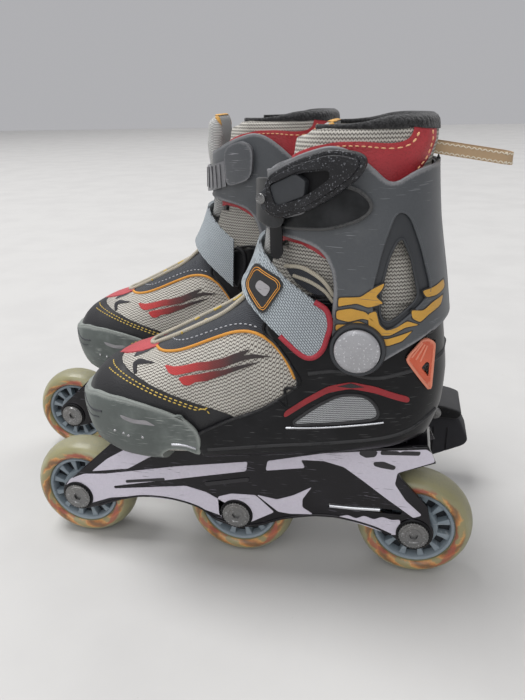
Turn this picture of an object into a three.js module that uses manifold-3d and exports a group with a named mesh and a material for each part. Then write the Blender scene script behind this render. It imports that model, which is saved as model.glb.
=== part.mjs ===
// A pair of child's inline skates standing side by side on their wheels.
// Each skate is modelled in its own frame, in millimetres: +X towards the toe, +Y out of the left skate's outer
// side, +Z up, with the middle wheel's contact point at the origin. The right skate is the left one mirrored.
import * as THREE from "three";
import { mergeVertices } from "three/addons/utils/BufferGeometryUtils.js";
import Module from "manifold-3d";

const wasm = await Module();
wasm.setup();

// ---- Driving dimensions ---------------------------------------------------------------------------------------

const WHEEL_R = 36; // 72 mm wheels
const WHEEL_HALF = 12; // half the tyre's width
const WHEEL_ROOM = 15; // from the top of the wheels to the lowest point of the boot's form
const AXLE_PITCH = 112.5; // from one axle to the next
const HUB_R = 25; // outer radius of the hub
const BEARING_R = 11; // 608 bearing, 22 mm outside
const BEARING_WIDTH = 7;
const AXLE_R = 4;
const AXLE_HEAD_R = 9.5;
const AXLE_HEAD = 2.2; // thickness of an axle's head
const RUN_GAP = 0.4; // between parts that turn or slide past each other
const SEAT_GAP = 0.3; // between parts that touch

const WHEELS = { front: AXLE_PITCH, middle: 0, rear: -AXLE_PITCH };

const FRAME_NOSE = 80; // the frame's upper edge, from x here
const FRAME_REAR = -116.5; // to x there
const CAP_REAR = 12; // where the toe cap's underside begins
const FRAME_HALF = 16; // half the width over the frame's side plates
const FRAME_PLATE = 2.6; // thickness of a side plate
const FRAME_TOP = 4; // thickness of the frame's bridge

const SHELL_WALL = 2.6; // moulded shell
const CAP_WALL = 3.2; // toe cap
const VAMP_WALL = 2.5; // textile over the forefoot
const LINING_STEP = 5.5; // how far the lining stands inside the vamp
const LINING_WALL = 3;
const CUFF_GAP = 2.0; // between the shell and the cuff
const CUFF_WALL = 2.8;
const PLATE_WALL = 2.5; // buckle base and strap anchor
const LADDER_WALL = 2.2; // toothed strap
const STRAP_WALL = 2.2; // webbing over the instep
const TONGUE_HALF = 16.5; // half the width of the tongue between the cuff's edges
const TONGUE_OUT = 7.6; // how far the tongue stands proud of the boot

const PIVOT = [-76, 167]; // cuff pivot: x, z
const PIVOT_HALF = 37; // the boot's half width at the pivot, without its layers
const RIVET_R = 11.7;
const RIVET_HEAD = 2.5;
const RIVET_SHANK_R = 4;
const BOSS_R = 14; // flat pad on the cuff round the pivot

const BUTTON_TRAVEL = 2;
const LEVER_THICK = 4.5;
const LEVER_SEAT = 27.9; // the boot's half width, less its layers, where the lever is pinned

const LOOP_LENGTH = 37;
const LOOP_HALF = 6;
const LOOP_WEB = 1.4;
const LOOP_HEIGHT = 9;
const LOOP_FOOT = 257.5; // height of the loop's lower edge

const SKATE_SHIFT = [62, -109]; // the right skate's place beside the left one
const RING_POINTS = 12;
const ROUND = 18; // facets round a tyre, a hub and their bearings; one facet lies flat on the ground
const FLAT_R = WHEEL_R / Math.cos(Math.PI / ROUND); // corner radius of a tyre whose facets are WHEEL_R away

// ---- The boot's form ------------------------------------------------------------------------------------------
// Each station is one closed ring round the foot: its upper point on the instep or shin, its lower point on the
// sole, heel or calf, its half width, and how square the lower half is.

const STATIONS = [
  { top: [98.5, 113], low: [97.5, 103], half: 7, square: 2.4, push: 1 },
  { top: [95, 122], low: [92, 93], half: 23, square: 2.6, push: 0.8 },
  { top: [86, 131.5], low: [82, 88.5], half: 34, square: 3.2, push: 0.4 },
  { top: [70, 140], low: [66, 87], half: 41, square: 4 },
  { top: [48, 149], low: [44, 87], half: 43.5, square: 4.2 },
  { top: [25, 161], low: [20, 88], half: 43, square: 4.2 },
  { top: [4, 172.5], low: [-6, 90], half: 41, square: 4.2 },
  { top: [-11, 184], low: [-34, 92.5], half: 39, square: 4.2 },
  { top: [-19, 197], low: [-66, 96], half: 37.5, square: 4 },
  { top: [-24, 209], low: [-100, 100], half: 36, square: 3.2 },
  { top: [-26, 218], low: [-119, 108], half: 35, square: 2.7 },
  { top: [-27, 226], low: [-126, 126], half: 35, square: 2.4 },
  { top: [-28, 234], low: [-127, 147], half: 35.5, square: 2.3 },
  { top: [-29, 242], low: [-123.5, 170], half: 37, square: 2.3 },
  { top: [-30, 250], low: [-118.5, 200], half: 38.5, square: 2.3 },
  { top: [-32, 259], low: [-113, 230], half: 39, square: 2.3 },
  { top: [-35, 268], low: [-110, 254], half: 38.5, square: 2.3 },
  { top: [-37, 277], low: [-108.5, 276], half: 38, square: 2.3 },
];
const UPPER_SQUARE = 2.4; // how square a ring's upper half is
const WIDEST = 0.55; // where a ring is widest, from its upper point to its lower one
const SOLE = STATIONS.slice(3, 10).map((s) => s.low);

// The boot stands clear of its wheels: how far all of it rises from the heights written here.
const BOOT_LIFT = 2 * WHEEL_R + WHEEL_ROOM - Math.min(...SOLE.map((p) => p[1]));

function power(value, exponent) {
  return Math.abs(value) ** (2 / exponent);
}

// One ring of the form, grown outwards by offset.
function ringOf(station, offset) {
  const top = new THREE.Vector2(...station.top);
  const low = new THREE.Vector2(...station.low);
  const down = low.clone().sub(top).normalize();
  top.addScaledVector(down, -offset);
  low.addScaledVector(down, offset);
  const push = offset * (station.push ?? 0);
  const half = station.half + offset;
  const points = [];
  for (let i = 0; i < RING_POINTS; i++) {
    const turn = (2 * Math.PI * i) / RING_POINTS;
    const c = Math.cos(turn);
    const square = c > 0 ? UPPER_SQUARE : station.square;
    const along = c > 0 ? WIDEST * (1 - power(c, square)) : WIDEST + (1 - WIDEST) * power(c, square);
    const side = half * power(Math.sin(turn), square) * Math.sign(Math.sin(turn));
    const p = top.clone().lerp(low, along);
    points.push(new THREE.Vector3(p.x + push, Math.abs(side) < 1e-9 ? 0 : side, p.y));
  }
  return points;
}

// A closed mesh through rings of the same number of points, with a fan over each end.
function loft(rings) {
  const count = rings[0].length;
  const middle = (ring) => ring.reduce((sum, p) => sum.add(p), new THREE.Vector3()).divideScalar(count);
  const points = [...rings.flat(), middle(rings[0]), middle(rings[rings.length - 1])];
  const faces = [];
  for (let r = 0; r + 1 < rings.length; r++)
    for (let i = 0; i < count; i++) {
      const j = (i + 1) % count;
      const [a, b, c, d] = [r * count + i, r * count + j, (r + 1) * count + j, (r + 1) * count + i];
      faces.push(a, b, c, a, c, d);
    }
  const last = (rings.length - 1) * count;
  for (let i = 0; i < count; i++) {
    const j = (i + 1) % count;
    faces.push(rings.length * count, j, i);
    faces.push(rings.length * count + 1, last + i, last + j);
  }
  const geometry = new THREE.BufferGeometry().setFromPoints(points);
  geometry.setIndex(faces);
  return geometry;
}

// The form grown by offset; rise carries its open top further up.
function form(offset, rise = 0) {
  const stations = [...STATIONS];
  if (rise) {
    const end = STATIONS[STATIONS.length - 1];
    stations.push({ ...end, top: [end.top[0], end.top[1] + rise], low: [end.low[0], end.low[1] + rise] });
  }
  return solid(loft(stations.map((s) => ringOf(s, offset))));
}

// ---- Solids ---------------------------------------------------------------------------------------------------

// A three.js geometry as a manifold-3d solid, turned to face outwards.
function solid(geometry) {
  const bare = new THREE.BufferGeometry().setAttribute("position", geometry.getAttribute("position"));
  if (geometry.index) bare.setIndex(geometry.index);
  const merged = mergeVertices(bare, 1e-3);
  const triVerts = new Uint32Array(merged.index.array);
  const vertProperties = new Float32Array(merged.attributes.position.array);
  const made = new wasm.Manifold(new wasm.Mesh({ numProp: 3, vertProperties, triVerts }));
  if (made.volume() > 0) return made;
  for (let i = 0; i < triVerts.length; i += 3) {
    [triVerts[i + 1], triVerts[i + 2]] = [triVerts[i + 2], triVerts[i + 1]];
  }
  return new wasm.Manifold(new wasm.Mesh({ numProp: 3, vertProperties, triVerts }));
}

// A manifold-3d solid as a three.js geometry: its largest body, without the slivers that a cut leaves.
function geometryOf(made) {
  const bodies = made.decompose().sort((a, b) => b.volume() - a.volume());
  const mesh = bodies[0].getMesh();
  const position = new Float32Array(mesh.numVert * 3);
  for (let i = 0; i < mesh.numVert; i++) {
    position.set(mesh.vertProperties.subarray(i * mesh.numProp, i * mesh.numProp + 3), i * 3);
  }
  const geometry = new THREE.BufferGeometry();
  geometry.setAttribute("position", new THREE.BufferAttribute(position, 3));
  geometry.setIndex(new THREE.BufferAttribute(mesh.triVerts, 1));
  return geometry;
}

// A side-view outline of [x, z] points, or a THREE.Shape, as a prism from y = from to y = to.
function prism(outline, from = -90, to = 90) {
  const shape = outline instanceof THREE.Shape ? outline : new THREE.Shape(outline.map((p) => new THREE.Vector2(...p)));
  const geometry = new THREE.ExtrudeGeometry(shape, { depth: to - from, bevelEnabled: false, curveSegments: 5 });
  geometry.rotateX(Math.PI / 2);
  geometry.translate(0, to, 0);
  return solid(geometry);
}

function box(x0, x1, y0, y1, z0, z1) {
  const geometry = new THREE.BoxGeometry(x1 - x0, y1 - y0, z1 - z0);
  geometry.translate((x0 + x1) / 2, (y0 + y1) / 2, (z0 + z1) / 2);
  return solid(geometry);
}

// A solid of revolution about an axis along +Y through (x, z), from a profile of [radius, y] points.
function turned(profile, x, z, segments) {
  const closed = [...profile, profile[0]].map((p) => new THREE.Vector2(...p));
  const geometry = new THREE.LatheGeometry(closed, segments, Math.PI / segments);
  geometry.translate(x, 0, z);
  return solid(geometry);
}

function disc(radius, x, z, y0, y1, segments = 12) {
  return turned([[0, y0], [radius, y0], [radius, y1], [0, y1]], x, z, segments);
}

// The stretch of wall between two offsets of the form that lies inside an outline.
function layer(inner, outer, outline, rise = 0) {
  return form(outer, rise).intersect(prism(outline)).subtract(form(inner, rise + 20));
}

// ---- Offsets of the layers, from the boot's form outwards -----------------------------------------------------

const SHELL_IN = RUN_GAP;
const SHELL_OUT = SHELL_IN + SHELL_WALL;
const CAP_OUT = RUN_GAP + CAP_WALL;
const CUFF_IN = SHELL_OUT + CUFF_GAP;
const CUFF_OUT = CUFF_IN + CUFF_WALL;
const PLATE_IN = CUFF_OUT + SEAT_GAP;
const PLATE_OUT = PLATE_IN + PLATE_WALL;
const LADDER_IN = PLATE_OUT + SEAT_GAP;
const LADDER_OUT = LADDER_IN + LADDER_WALL;
const CAVITY = -(LINING_STEP + LINING_WALL); // the foot's room
const BOSS_IN = PIVOT_HALF + SHELL_OUT + 0.6; // the flat pad on the cuff, from y here to y there
const BOSS_OUT = PIVOT_HALF + CUFF_OUT + 0.6;
const LEVER_ROOT = [-30, LEVER_SEAT + LADDER_OUT, 243]; // the lever's pivot
const LEVER_TIP = [-80, LEVER_SEAT + LADDER_OUT + 17, 262];

// ---- Side-view outlines, [x, z] -------------------------------------------------------------------------------

const BELOW = 60; // lower than any sole
const ABOVE = 320; // higher than any collar

const SHELL_EDGE = [
  [12, BELOW], [12, 98], [14, 109], [-5, 119], [-24, 127], [-45, 142], [-41, 154], [-33, 165],
  [-25, 173], [-36, 186], [-60, 192], [-92, 179], [-112, 186], [-140, 187], [-140, BELOW],
];
const CAP_EDGE = [
  [36, BELOW], [125, BELOW], [125, 126], [94, 126], [80, 129.5], [63, 130.5], [45, 128], [27, 121.5], [14.8, 110],
  [12.6, 99], [12.6, 95], [14.5, 94.5], [20, 98.5], [30, 98.5], [36, 94],
];
const VAMP_EDGE = [
  [130, BELOW], [130, 200], [60, 170], [34, 162], [13, 163], [-1.5, 169.5], [-13, 172.5], [-23, 171.5],
  [-32, 164.5], [-40, 153.5], [-45, 142.5], [-45, BELOW],
];
const QUARTER_EDGE = [
  [-45.6, BELOW], [-45.6, 142.5], [-40.6, 153.7], [-32.4, 165], [-23.3, 172.2], [-13, 173.2], [-6, 180], [4, 200],
  [4, 230], [-150, 230], [-150, BELOW],
];
const SPLIT = [[-76, 200], [-150, 198]]; // upper edge of the fixed textile behind the pivot
const SPLIT_FRONT = [20, 181]; // where that edge reaches the instep
const COLLAR_FOOT = 203; // lower edge of the collar that leans with the cuff
const COLLAR_EDGE = [
  [-150, COLLAR_FOOT - 1], [-76, COLLAR_FOOT], [20, COLLAR_FOOT + 4], [20, 250], [-27, 252], [-33, 262],
  [-42, 271], [-55, 275], [-73, 274.5], [-91, 276], [-125, ABOVE],
];
const CUFF_EDGE = [
  [-62.5, 167], [-63.5, 189], [-64.3, 199], [-62.5, 210], [-57.5, 218], [-49, 221.5], [-36, 223], [-10, 226],
  [-10, 250], [-28, 253], [-46, 262], [-61, 266.5], [-70, 264], [-79, 257.5], [-89, 248], [-101, 255],
  [-109, 256], [-140, 255], [-140, 182], [-118, 179], [-95, 165], [-84, 157],
];
const CUFF_WINDOW = [[-96, 226], [-105, 194.5], [-90, 181.5], [-87, 199.7]];
const BASE_EDGE = [[-12, 229], [-37, 228.5], [-73, 233], [-79, 239], [-76, 246], [-60, 252], [-30, 249], [-12, 246]];
const LADDER_EDGE = [[0, 222], [-26, 228.5], [-50, 236.5], [-50, 252.5], [-26, 245.5], [0, 240]];
const ANCHOR_EDGE = [[-41, 233], [-60, 239], [-62, 258], [-54, 263], [-41, 258]];
const STRAP_EDGE = [
  [10, 208], [-13, 190.5], [-36, 172.5], [-47, 163.5], [-53, 162], [-58, 166], [-60.5, 173], [-62, 180],
  [-60, 187.5], [-49, 194.5], [-38, 201], [-24, 212], [-4, 228],
];
const STRAP_BACK = -44; // the webbing's end at its ring on the inner side
const BUTTON_EDGE = [[-112, 172], [-103.5, 161.5], [-117.5, 141.5], [-117.5, 168]];
const BUTTON_HOLE_GROWTH = 1.04;
// The frame's lower edge between its outer axles: x as a share of the axle pitch, z from the axles' height.
const FRAME_LOW = [
  [-0.88, -3.5], [-0.76, 1.5], [-0.58, 5], [-0.44, 4], [-0.27, -1], [-0.12, -8.5], [0, -10.5], [0.12, -8],
  [0.22, 0], [0.35, 4], [0.48, 5], [0.61, 3.5], [0.75, -1.5], [0.87, -7.5],
];
const FRAME_NOTCH = [[-7, 20], [9.5, 38], [11.5, 42], [-9.5, 51]]; // behind the rear axle, from that axle
const SLOT_EDGE = [[-58, 12], [-104, 12.5], [-106, 14.5], [-104, 16.5], [-58, 16]]; // z from the axles' height

// ---- Pieces of one skate --------------------------------------------------------------------------------------

function shell() {
  const wall = layer(SHELL_IN, SHELL_OUT, SHELL_EDGE);
  const hole = grown(BUTTON_EDGE, BUTTON_HOLE_GROWTH);
  const shank = disc(RIVET_SHANK_R + RUN_GAP, ...PIVOT, -60, 60, 8);
  return wall.subtract(prism(hole, 0, 60)).subtract(shank);
}

function toeCap() {
  return layer(RUN_GAP, CAP_OUT, CAP_EDGE);
}

function vamp() {
  return layer(-VAMP_WALL, 0, VAMP_EDGE);
}

// The fixed textile: the padded quarter round the heel, and the lining that runs on inside the vamp.
function upper() {
  const below = [[130, BELOW], [130, SPLIT_FRONT[1]], SPLIT_FRONT, ...SPLIT, [-150, BELOW]];
  const quarter = form(0).intersect(prism(QUARTER_EDGE));
  const lining = form(-LINING_STEP).intersect(prism([[72, BELOW], [72, ABOVE], [-100, ABOVE], [-100, BELOW]]));
  const outside = quarter.add(lining).intersect(prism(below));
  return outside.subtract(form(CAVITY, 20));
}

function collar() {
  const wall = layer(CAVITY, 0, COLLAR_EDGE);
  return wall.subtract(box(-52, 20, -TONGUE_HALF - RUN_GAP, TONGUE_HALF + RUN_GAP, 150, ABOVE));
}

function tongue() {
  const edge = [[20, COLLAR_FOOT + 4], [20, 262], [-29, 270], [-36, 279], [-44, 279.5], [-60, 270], [-60, COLLAR_FOOT]];
  const sides = box(-60, 40, -TONGUE_HALF, TONGUE_HALF, 150, ABOVE);
  const top = form(TONGUE_OUT, 10).intersect(prism(edge)).intersect(sides);
  return top.subtract(form(CAVITY + 1, 40));
}

function cuff() {
  const wall = layer(CUFF_IN, CUFF_OUT, CUFF_EDGE);
  const gap = box(-60, 40, -TONGUE_HALF - RUN_GAP, TONGUE_HALF + RUN_GAP, 150, ABOVE);
  const bosses = disc(BOSS_R, ...PIVOT, BOSS_IN, BOSS_OUT).add(disc(BOSS_R, ...PIVOT, -BOSS_OUT, -BOSS_IN));
  const bore = disc(RIVET_SHANK_R + RUN_GAP, ...PIVOT, -60, 60, 8);
  return wall.subtract(gap).subtract(prism(CUFF_WINDOW)).add(bosses).subtract(bore);
}

// A rivet that holds the cuff to the shell on the side of sign.
function rivet(sign) {
  const inner = PIVOT_HALF - 0.1;
  const head = BOSS_OUT + SEAT_GAP;
  const profile = [[0, inner], [RIVET_SHANK_R, inner], [RIVET_SHANK_R, head], [RIVET_R, head],
    [RIVET_R, head + RIVET_HEAD * 0.6], [RIVET_R * 0.85, head + RIVET_HEAD], [0, head + RIVET_HEAD]];
  return turned(profile.map(([r, y]) => [r, y * sign]), ...PIVOT, 12);
}

function buckleBase() {
  const side = box(-140, 60, TONGUE_HALF + RUN_GAP, 90, 150, ABOVE);
  return layer(PLATE_IN, PLATE_OUT, BASE_EDGE).intersect(side);
}

function ladderStrap() {
  const band = layer(LADDER_IN, LADDER_OUT, LADDER_EDGE);
  return band.subtract(box(-140, ANCHOR_EDGE[0][0] + SEAT_GAP, -90, 0, 150, ABOVE));
}

function strapAnchor() {
  return layer(PLATE_IN, LADDER_OUT, ANCHOR_EDGE).intersect(box(-140, 60, -90, 0, 150, ABOVE));
}

function instepStrap() {
  const inner = CUFF_OUT + RUN_GAP;
  const band = layer(inner, inner + STRAP_WALL, STRAP_EDGE);
  return band.subtract(box(-140, STRAP_BACK, -90, 0, 100, ABOVE));
}

function pullLoop() {
  const root = -109.6;
  const racetrack = (length, half) => {
    const shape = new THREE.Shape();
    shape.moveTo(root, -half);
    shape.lineTo(root, half);
    shape.lineTo(root - length + half, half);
    shape.absarc(root - length + half, 0, half, Math.PI / 2, (3 * Math.PI) / 2, false);
    return new THREE.ExtrudeGeometry(shape, { depth: LOOP_HEIGHT, bevelEnabled: false, curveSegments: 5 });
  };
  const gap = racetrack(LOOP_LENGTH - LOOP_WEB, LOOP_HALF - LOOP_WEB).translate(-LOOP_WEB * 2, 0, -1);
  gap.scale(1, 1, 1.3);
  const made = solid(racetrack(LOOP_LENGTH, LOOP_HALF)).subtract(solid(gap));
  const placed = made.translate(0, 0, LOOP_FOOT);
  return placed.subtract(form(SEAT_GAP, 20));
}

function sizeButton() {
  const inner = RUN_GAP + BUTTON_TRAVEL;
  return layer(inner, SHELL_OUT + 1.2, BUTTON_EDGE).intersect(box(-140, 0, 5, 90, 0, ABOVE));
}

function frame() {
  const skin = (x) => (x > CAP_REAR ? CAP_OUT : SHELL_OUT) + SEAT_GAP;
  const top = SOLE.map(([x, z]) => [x, z + BOOT_LIFT - skin(x)]);
  const rear = [FRAME_REAR, top[top.length - 1][1] + 2.4];
  const noseR = 12;
  const side = new THREE.Shape();
  side.moveTo(FRAME_NOSE, top[0][1] - SEAT_GAP);
  [...top, rear].forEach(([x, z]) => side.lineTo(x, z));
  FRAME_NOTCH.toReversed().forEach(([x, z]) => side.lineTo(x - AXLE_PITCH, z + WHEEL_R));
  side.absarc(-AXLE_PITCH, WHEEL_R, noseR, Math.PI * 0.8, Math.PI * 1.6, false);
  FRAME_LOW.forEach(([x, z]) => side.lineTo(x * AXLE_PITCH, z + WHEEL_R));
  side.absarc(AXLE_PITCH, WHEEL_R, noseR, -Math.PI / 2, Math.PI * 0.22, false);
  const channelTop = [...top, rear].map(([x, z]) => [x, z - FRAME_TOP]);
  const inside = FRAME_HALF - FRAME_PLATE;
  const far = AXLE_PITCH + 2 * WHEEL_R;
  const channel = [[far, 0], [far, channelTop[0][1]], ...channelTop, [-far, rear[1] - FRAME_TOP], [-far, 0]];
  const slot = SLOT_EDGE.map(([x, z]) => [x, z + WHEEL_R]);
  let made = prism(side, -FRAME_HALF, FRAME_HALF).subtract(prism(channel, -inside, inside)).subtract(prism(slot));
  for (const x of Object.values(WHEELS)) {
    made = made.subtract(disc(AXLE_R + RUN_GAP / 4, x, WHEEL_R, -40, 40));
  }
  return made;
}

// ---- Wheels ---------------------------------------------------------------------------------------------------

const HUB_HALF = 9; // half the hub's width
const WINDOWS = 6;
const TREAD_HALF = 3.5; // half the flat middle of the tread

function tyre(x) {
  const seat = HUB_R + RUN_GAP / 4;
  const half = WHEEL_HALF;
  const profile = [[seat, -half + 2.5], [HUB_R + 3, -half], [FLAT_R - 5, -half + 1.8], [FLAT_R, -TREAD_HALF],
    [FLAT_R, TREAD_HALF], [FLAT_R - 5, half - 1.8], [HUB_R + 3, half], [seat, half - 2.5]];
  return turned(profile, x, WHEEL_R, ROUND);
}

function hub(x) {
  const profile = [[BEARING_R + RUN_GAP / 4, -HUB_HALF], [HUB_R, -HUB_HALF], [HUB_R, HUB_HALF],
    [BEARING_R + RUN_GAP / 4, HUB_HALF]];
  let made = turned(profile, x, WHEEL_R, ROUND);
  const point = (r, a) => [x + r * Math.cos(a), WHEEL_R + r * Math.sin(a)];
  const [near, far] = [BEARING_R + 3.4, HUB_R - 3];
  for (let i = 0; i < WINDOWS; i++) {
    const middle = (2 * Math.PI * (i + 0.5)) / WINDOWS;
    const window = [point(near, middle - 0.26), point(far, middle - 0.36), point(far, middle + 0.36),
      point(near, middle + 0.26)];
    made = made.subtract(prism(window, -40, 40));
  }
  return made;
}

// Both bearings of a wheel and the spacer between their inner races, as one pressed-in set.
function bearings(x) {
  const bore = AXLE_R + RUN_GAP / 4;
  const spacer = bore + 1.6;
  const [edge, inner] = [HUB_HALF, HUB_HALF - BEARING_WIDTH];
  const profile = [[bore, -edge], [BEARING_R, -edge], [BEARING_R, -inner], [spacer, -inner], [spacer, inner],
    [BEARING_R, inner], [BEARING_R, edge], [bore, edge]];
  return turned(profile, x, WHEEL_R, ROUND);
}

function axle(x) {
  const head = FRAME_HALF + SEAT_GAP;
  const end = head + AXLE_HEAD;
  const profile = [[0, -end], [AXLE_HEAD_R - 1, -end], [AXLE_HEAD_R, -head], [AXLE_R, -head], [AXLE_R, head],
    [AXLE_HEAD_R, head], [AXLE_HEAD_R - 1, end], [0, end]];
  return turned(profile, x, WHEEL_R, 12);
}

// ---- Buckle lever ---------------------------------------------------------------------------------------------

// The lever's own frame: u along it from the pivot to the tip, v across it, w out of the boot.
function leverFrame() {
  const root = new THREE.Vector3(...LEVER_ROOT);
  const u = new THREE.Vector3(...LEVER_TIP).sub(root).normalize();
  const v = new THREE.Vector3(0, 0, 1).addScaledVector(u, -u.z).normalize();
  const w = new THREE.Vector3().crossVectors(u, v);
  return { root, u, v, w };
}

function buckleLever() {
  const outline = [[-3, -4.8], [3, -11.8], [23, -12.5], [36, -10], [49, -6.5], [55.5, -1], [54, 4], [41, 10.3],
    [22, 11.2], [4.5, 9]];
  const slot = [[6, -5], [24, -6], [38, -2], [39, 1.5], [24, 5.5], [6, 4.5]];
  const shape = new THREE.Shape(outline.map((p) => new THREE.Vector2(...p)));
  shape.holes.push(new THREE.Path(slot.map((p) => new THREE.Vector2(...p))));
  const geometry = new THREE.ExtrudeGeometry(shape, { depth: LEVER_THICK, bevelEnabled: false });
  const { root, u, v, w } = leverFrame();
  geometry.applyMatrix4(new THREE.Matrix4().makeBasis(u, v, w).setPosition(root));
  return solid(geometry);
}

// ---- Brake of the right skate ---------------------------------------------------------------------------------

const BRAKE_HALF = 14;
const BRACKET_ROOT = [[-112, 96], [-124, 76], [-112, 80]]; // at the boot: above the arms, then below them
const BRACKET_END = [[-39.5, 82], [-89.5, 70.5], [-95.5, 68], [-93, 62], [-47.5, 62], [-37.5, 74]]; // from the rear axle
const PAD_EDGE = [[-48, 61.6], [-93.2, 61.6], [-102, 43], [-99.5, 38], [-59.5, 18.5], [-50.5, 30]]; // from the rear axle
const fromRear = ([x, z]) => [x - AXLE_PITCH, z];

function brakeBracket() {
  const [above, ...below] = BRACKET_ROOT;
  const arms = prism([above, ...BRACKET_END.map(fromRear), ...below], -FRAME_HALF - 3, FRAME_HALF + 3);
  const nest = box(-149, -90, -FRAME_HALF - SEAT_GAP, FRAME_HALF + SEAT_GAP, 0, 200);
  return arms.subtract(nest);
}

function brakePad() {
  return prism(PAD_EDGE.map(fromRear), -BRAKE_HALF, BRAKE_HALF);
}

// ---- Assembly -------------------------------------------------------------------------------------------------

// An outline scaled about its middle.
function grown(outline, factor) {
  const cx = outline.reduce((sum, p) => sum + p[0], 0) / outline.length;
  const cz = outline.reduce((sum, p) => sum + p[1], 0) / outline.length;
  return outline.map(([x, z]) => [cx + (x - cx) * factor, cz + (z - cz) * factor]);
}

const FINISHES = {
  black_plastic: { color: 0x17181b, roughness: 0.45, metalness: 0 },
  grey_plastic: { color: 0x565c62, roughness: 0.5, metalness: 0 },
  cap_plastic: { color: 0x6d746f, roughness: 0.7, metalness: 0 },
  mesh_fabric: { color: 0xb9b0a0, roughness: 0.9, metalness: 0 },
  lining_fabric: { color: 0x1b1b1d, roughness: 1, metalness: 0 },
  tongue_fabric: { color: 0xc9c4c2, roughness: 0.9, metalness: 0 },
  webbing: { color: 0xaab0b8, roughness: 0.85, metalness: 0 },
  loop_webbing: { color: 0xa08c70, roughness: 0.9, metalness: 0 },
  button_plastic: { color: 0xcf4a22, roughness: 0.45, metalness: 0 },
  steel: { color: 0x9a9aa0, roughness: 0.35, metalness: 1 },
  tyre_urethane: { color: 0x8c8a5c, roughness: 0.4, metalness: 0 },
  hub_plastic: { color: 0x6c7a88, roughness: 0.45, metalness: 0 },
  brake_rubber: { color: 0x202224, roughness: 0.85, metalness: 0 },
};

const BOOT = {
  shell: [shell(), "black_plastic"],
  toe_cap: [toeCap(), "cap_plastic"],
  vamp: [vamp(), "mesh_fabric"],
  upper: [upper(), "lining_fabric"],
  collar: [collar(), "mesh_fabric"],
  tongue: [tongue(), "tongue_fabric"],
  cuff: [cuff(), "grey_plastic"],
  rivet_outer: [rivet(1), "steel"],
  rivet_inner: [rivet(-1), "steel"],
  buckle_base: [buckleBase(), "black_plastic"],
  buckle_lever: [buckleLever(), "black_plastic"],
  ladder_strap: [ladderStrap(), "grey_plastic"],
  strap_anchor: [strapAnchor(), "grey_plastic"],
  instep_strap: [instepStrap(), "webbing"],
  pull_loop: [pullLoop(), "loop_webbing"],
  size_button: [sizeButton(), "button_plastic"],
};
const CHASSIS = { frame: [frame(), "black_plastic"] };
for (const [place, x] of Object.entries(WHEELS)) {
  CHASSIS[`tyre_${place}`] = [tyre(x), "tyre_urethane"];
  CHASSIS[`hub_${place}`] = [hub(x), "hub_plastic"];
  CHASSIS[`bearings_${place}`] = [bearings(x), "steel"];
  CHASSIS[`axle_${place}`] = [axle(x), "steel"];
}
const BRAKE = {
  brake_bracket: [brakeBracket(), "black_plastic"],
  brake_pad: [brakePad(), "brake_rubber"],
};

function meshes(side, pieces) {
  const group = new THREE.Group();
  for (const [name, [made, finish]] of Object.entries(pieces)) {
    const material = new THREE.MeshStandardMaterial(FINISHES[finish]);
    const mesh = new THREE.Mesh(geometryOf(made), material);
    mesh.name = `${side}_${name}`;
    group.add(mesh);
  }
  return group;
}

// One skate: what stands on the axles as it is, and the boot, with a brake if it has one, lifted clear of them.
function skate(side, boot) {
  const lifted = meshes(side, boot);
  lifted.position.z = BOOT_LIFT;
  return new THREE.Group().add(meshes(side, CHASSIS), lifted);
}

const left = skate("left", BOOT);
const right = skate("right", { ...BOOT, ...BRAKE });
right.scale.y = -1;
right.position.set(...SKATE_SHIFT, 0);

const pair = new THREE.Group();
pair.add(left, right);
pair.updateMatrixWorld(true);

// The origin is the middle of the pair's base.
const reach = new THREE.Box3().setFromObject(pair);
pair.position.set(-(reach.min.x + reach.max.x) / 2, -(reach.min.y + reach.max.y) / 2, -reach.min.z);

export default pair;
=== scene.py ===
"""A pair of adjustable inline skates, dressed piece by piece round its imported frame.

Shapes are worked out once in a skate's own millimetres (+X to the toe, +Y to the outer side, +Z up, zero on
the ground under the middle wheel) and fitted to the left skate and, mirrored, to the right one.
"""

from __future__ import annotations

import logging
import math
from collections.abc import Iterable, Sequence
from dataclasses import dataclass, field
from enum import Enum
from typing import Any

import bmesh
import bpy
import numpy as np
from mathutils import Matrix, Vector
from mathutils.kdtree import KDTree


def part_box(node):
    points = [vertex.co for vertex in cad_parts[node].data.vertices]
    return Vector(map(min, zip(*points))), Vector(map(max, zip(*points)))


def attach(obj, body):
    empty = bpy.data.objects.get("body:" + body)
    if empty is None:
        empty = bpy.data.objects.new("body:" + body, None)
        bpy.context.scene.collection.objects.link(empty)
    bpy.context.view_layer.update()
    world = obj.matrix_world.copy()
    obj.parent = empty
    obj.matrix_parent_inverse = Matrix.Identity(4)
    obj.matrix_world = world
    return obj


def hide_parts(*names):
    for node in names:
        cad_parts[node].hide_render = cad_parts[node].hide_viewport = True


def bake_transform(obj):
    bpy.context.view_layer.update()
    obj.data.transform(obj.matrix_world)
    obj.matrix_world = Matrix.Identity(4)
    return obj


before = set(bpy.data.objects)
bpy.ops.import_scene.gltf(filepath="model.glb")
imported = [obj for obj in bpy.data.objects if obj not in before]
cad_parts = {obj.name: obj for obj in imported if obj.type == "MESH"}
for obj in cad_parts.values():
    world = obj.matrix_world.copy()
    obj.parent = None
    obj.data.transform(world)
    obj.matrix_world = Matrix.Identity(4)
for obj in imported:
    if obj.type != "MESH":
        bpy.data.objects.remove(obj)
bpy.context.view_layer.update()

LOG = logging.getLogger("skates")
MM = 0.001
WELD = 1e-4  # points nearer than this become one, in millimetres
TURN = 6283.0  # radians in one turn, for each millimetre of a coordinate in metres
TOP = 330.0  # above everything, in millimetres
TONGUE_GAP = 16.9  # half the width of the opening round the tongue
FAR = 90.0  # beyond either side of a boot, in millimetres

Pair = tuple[float, float]
Triple = tuple[float, float, float]
Outline = Sequence[Pair]
Colour = tuple[float, float, float]
Shape = bmesh.types.BMesh


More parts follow.
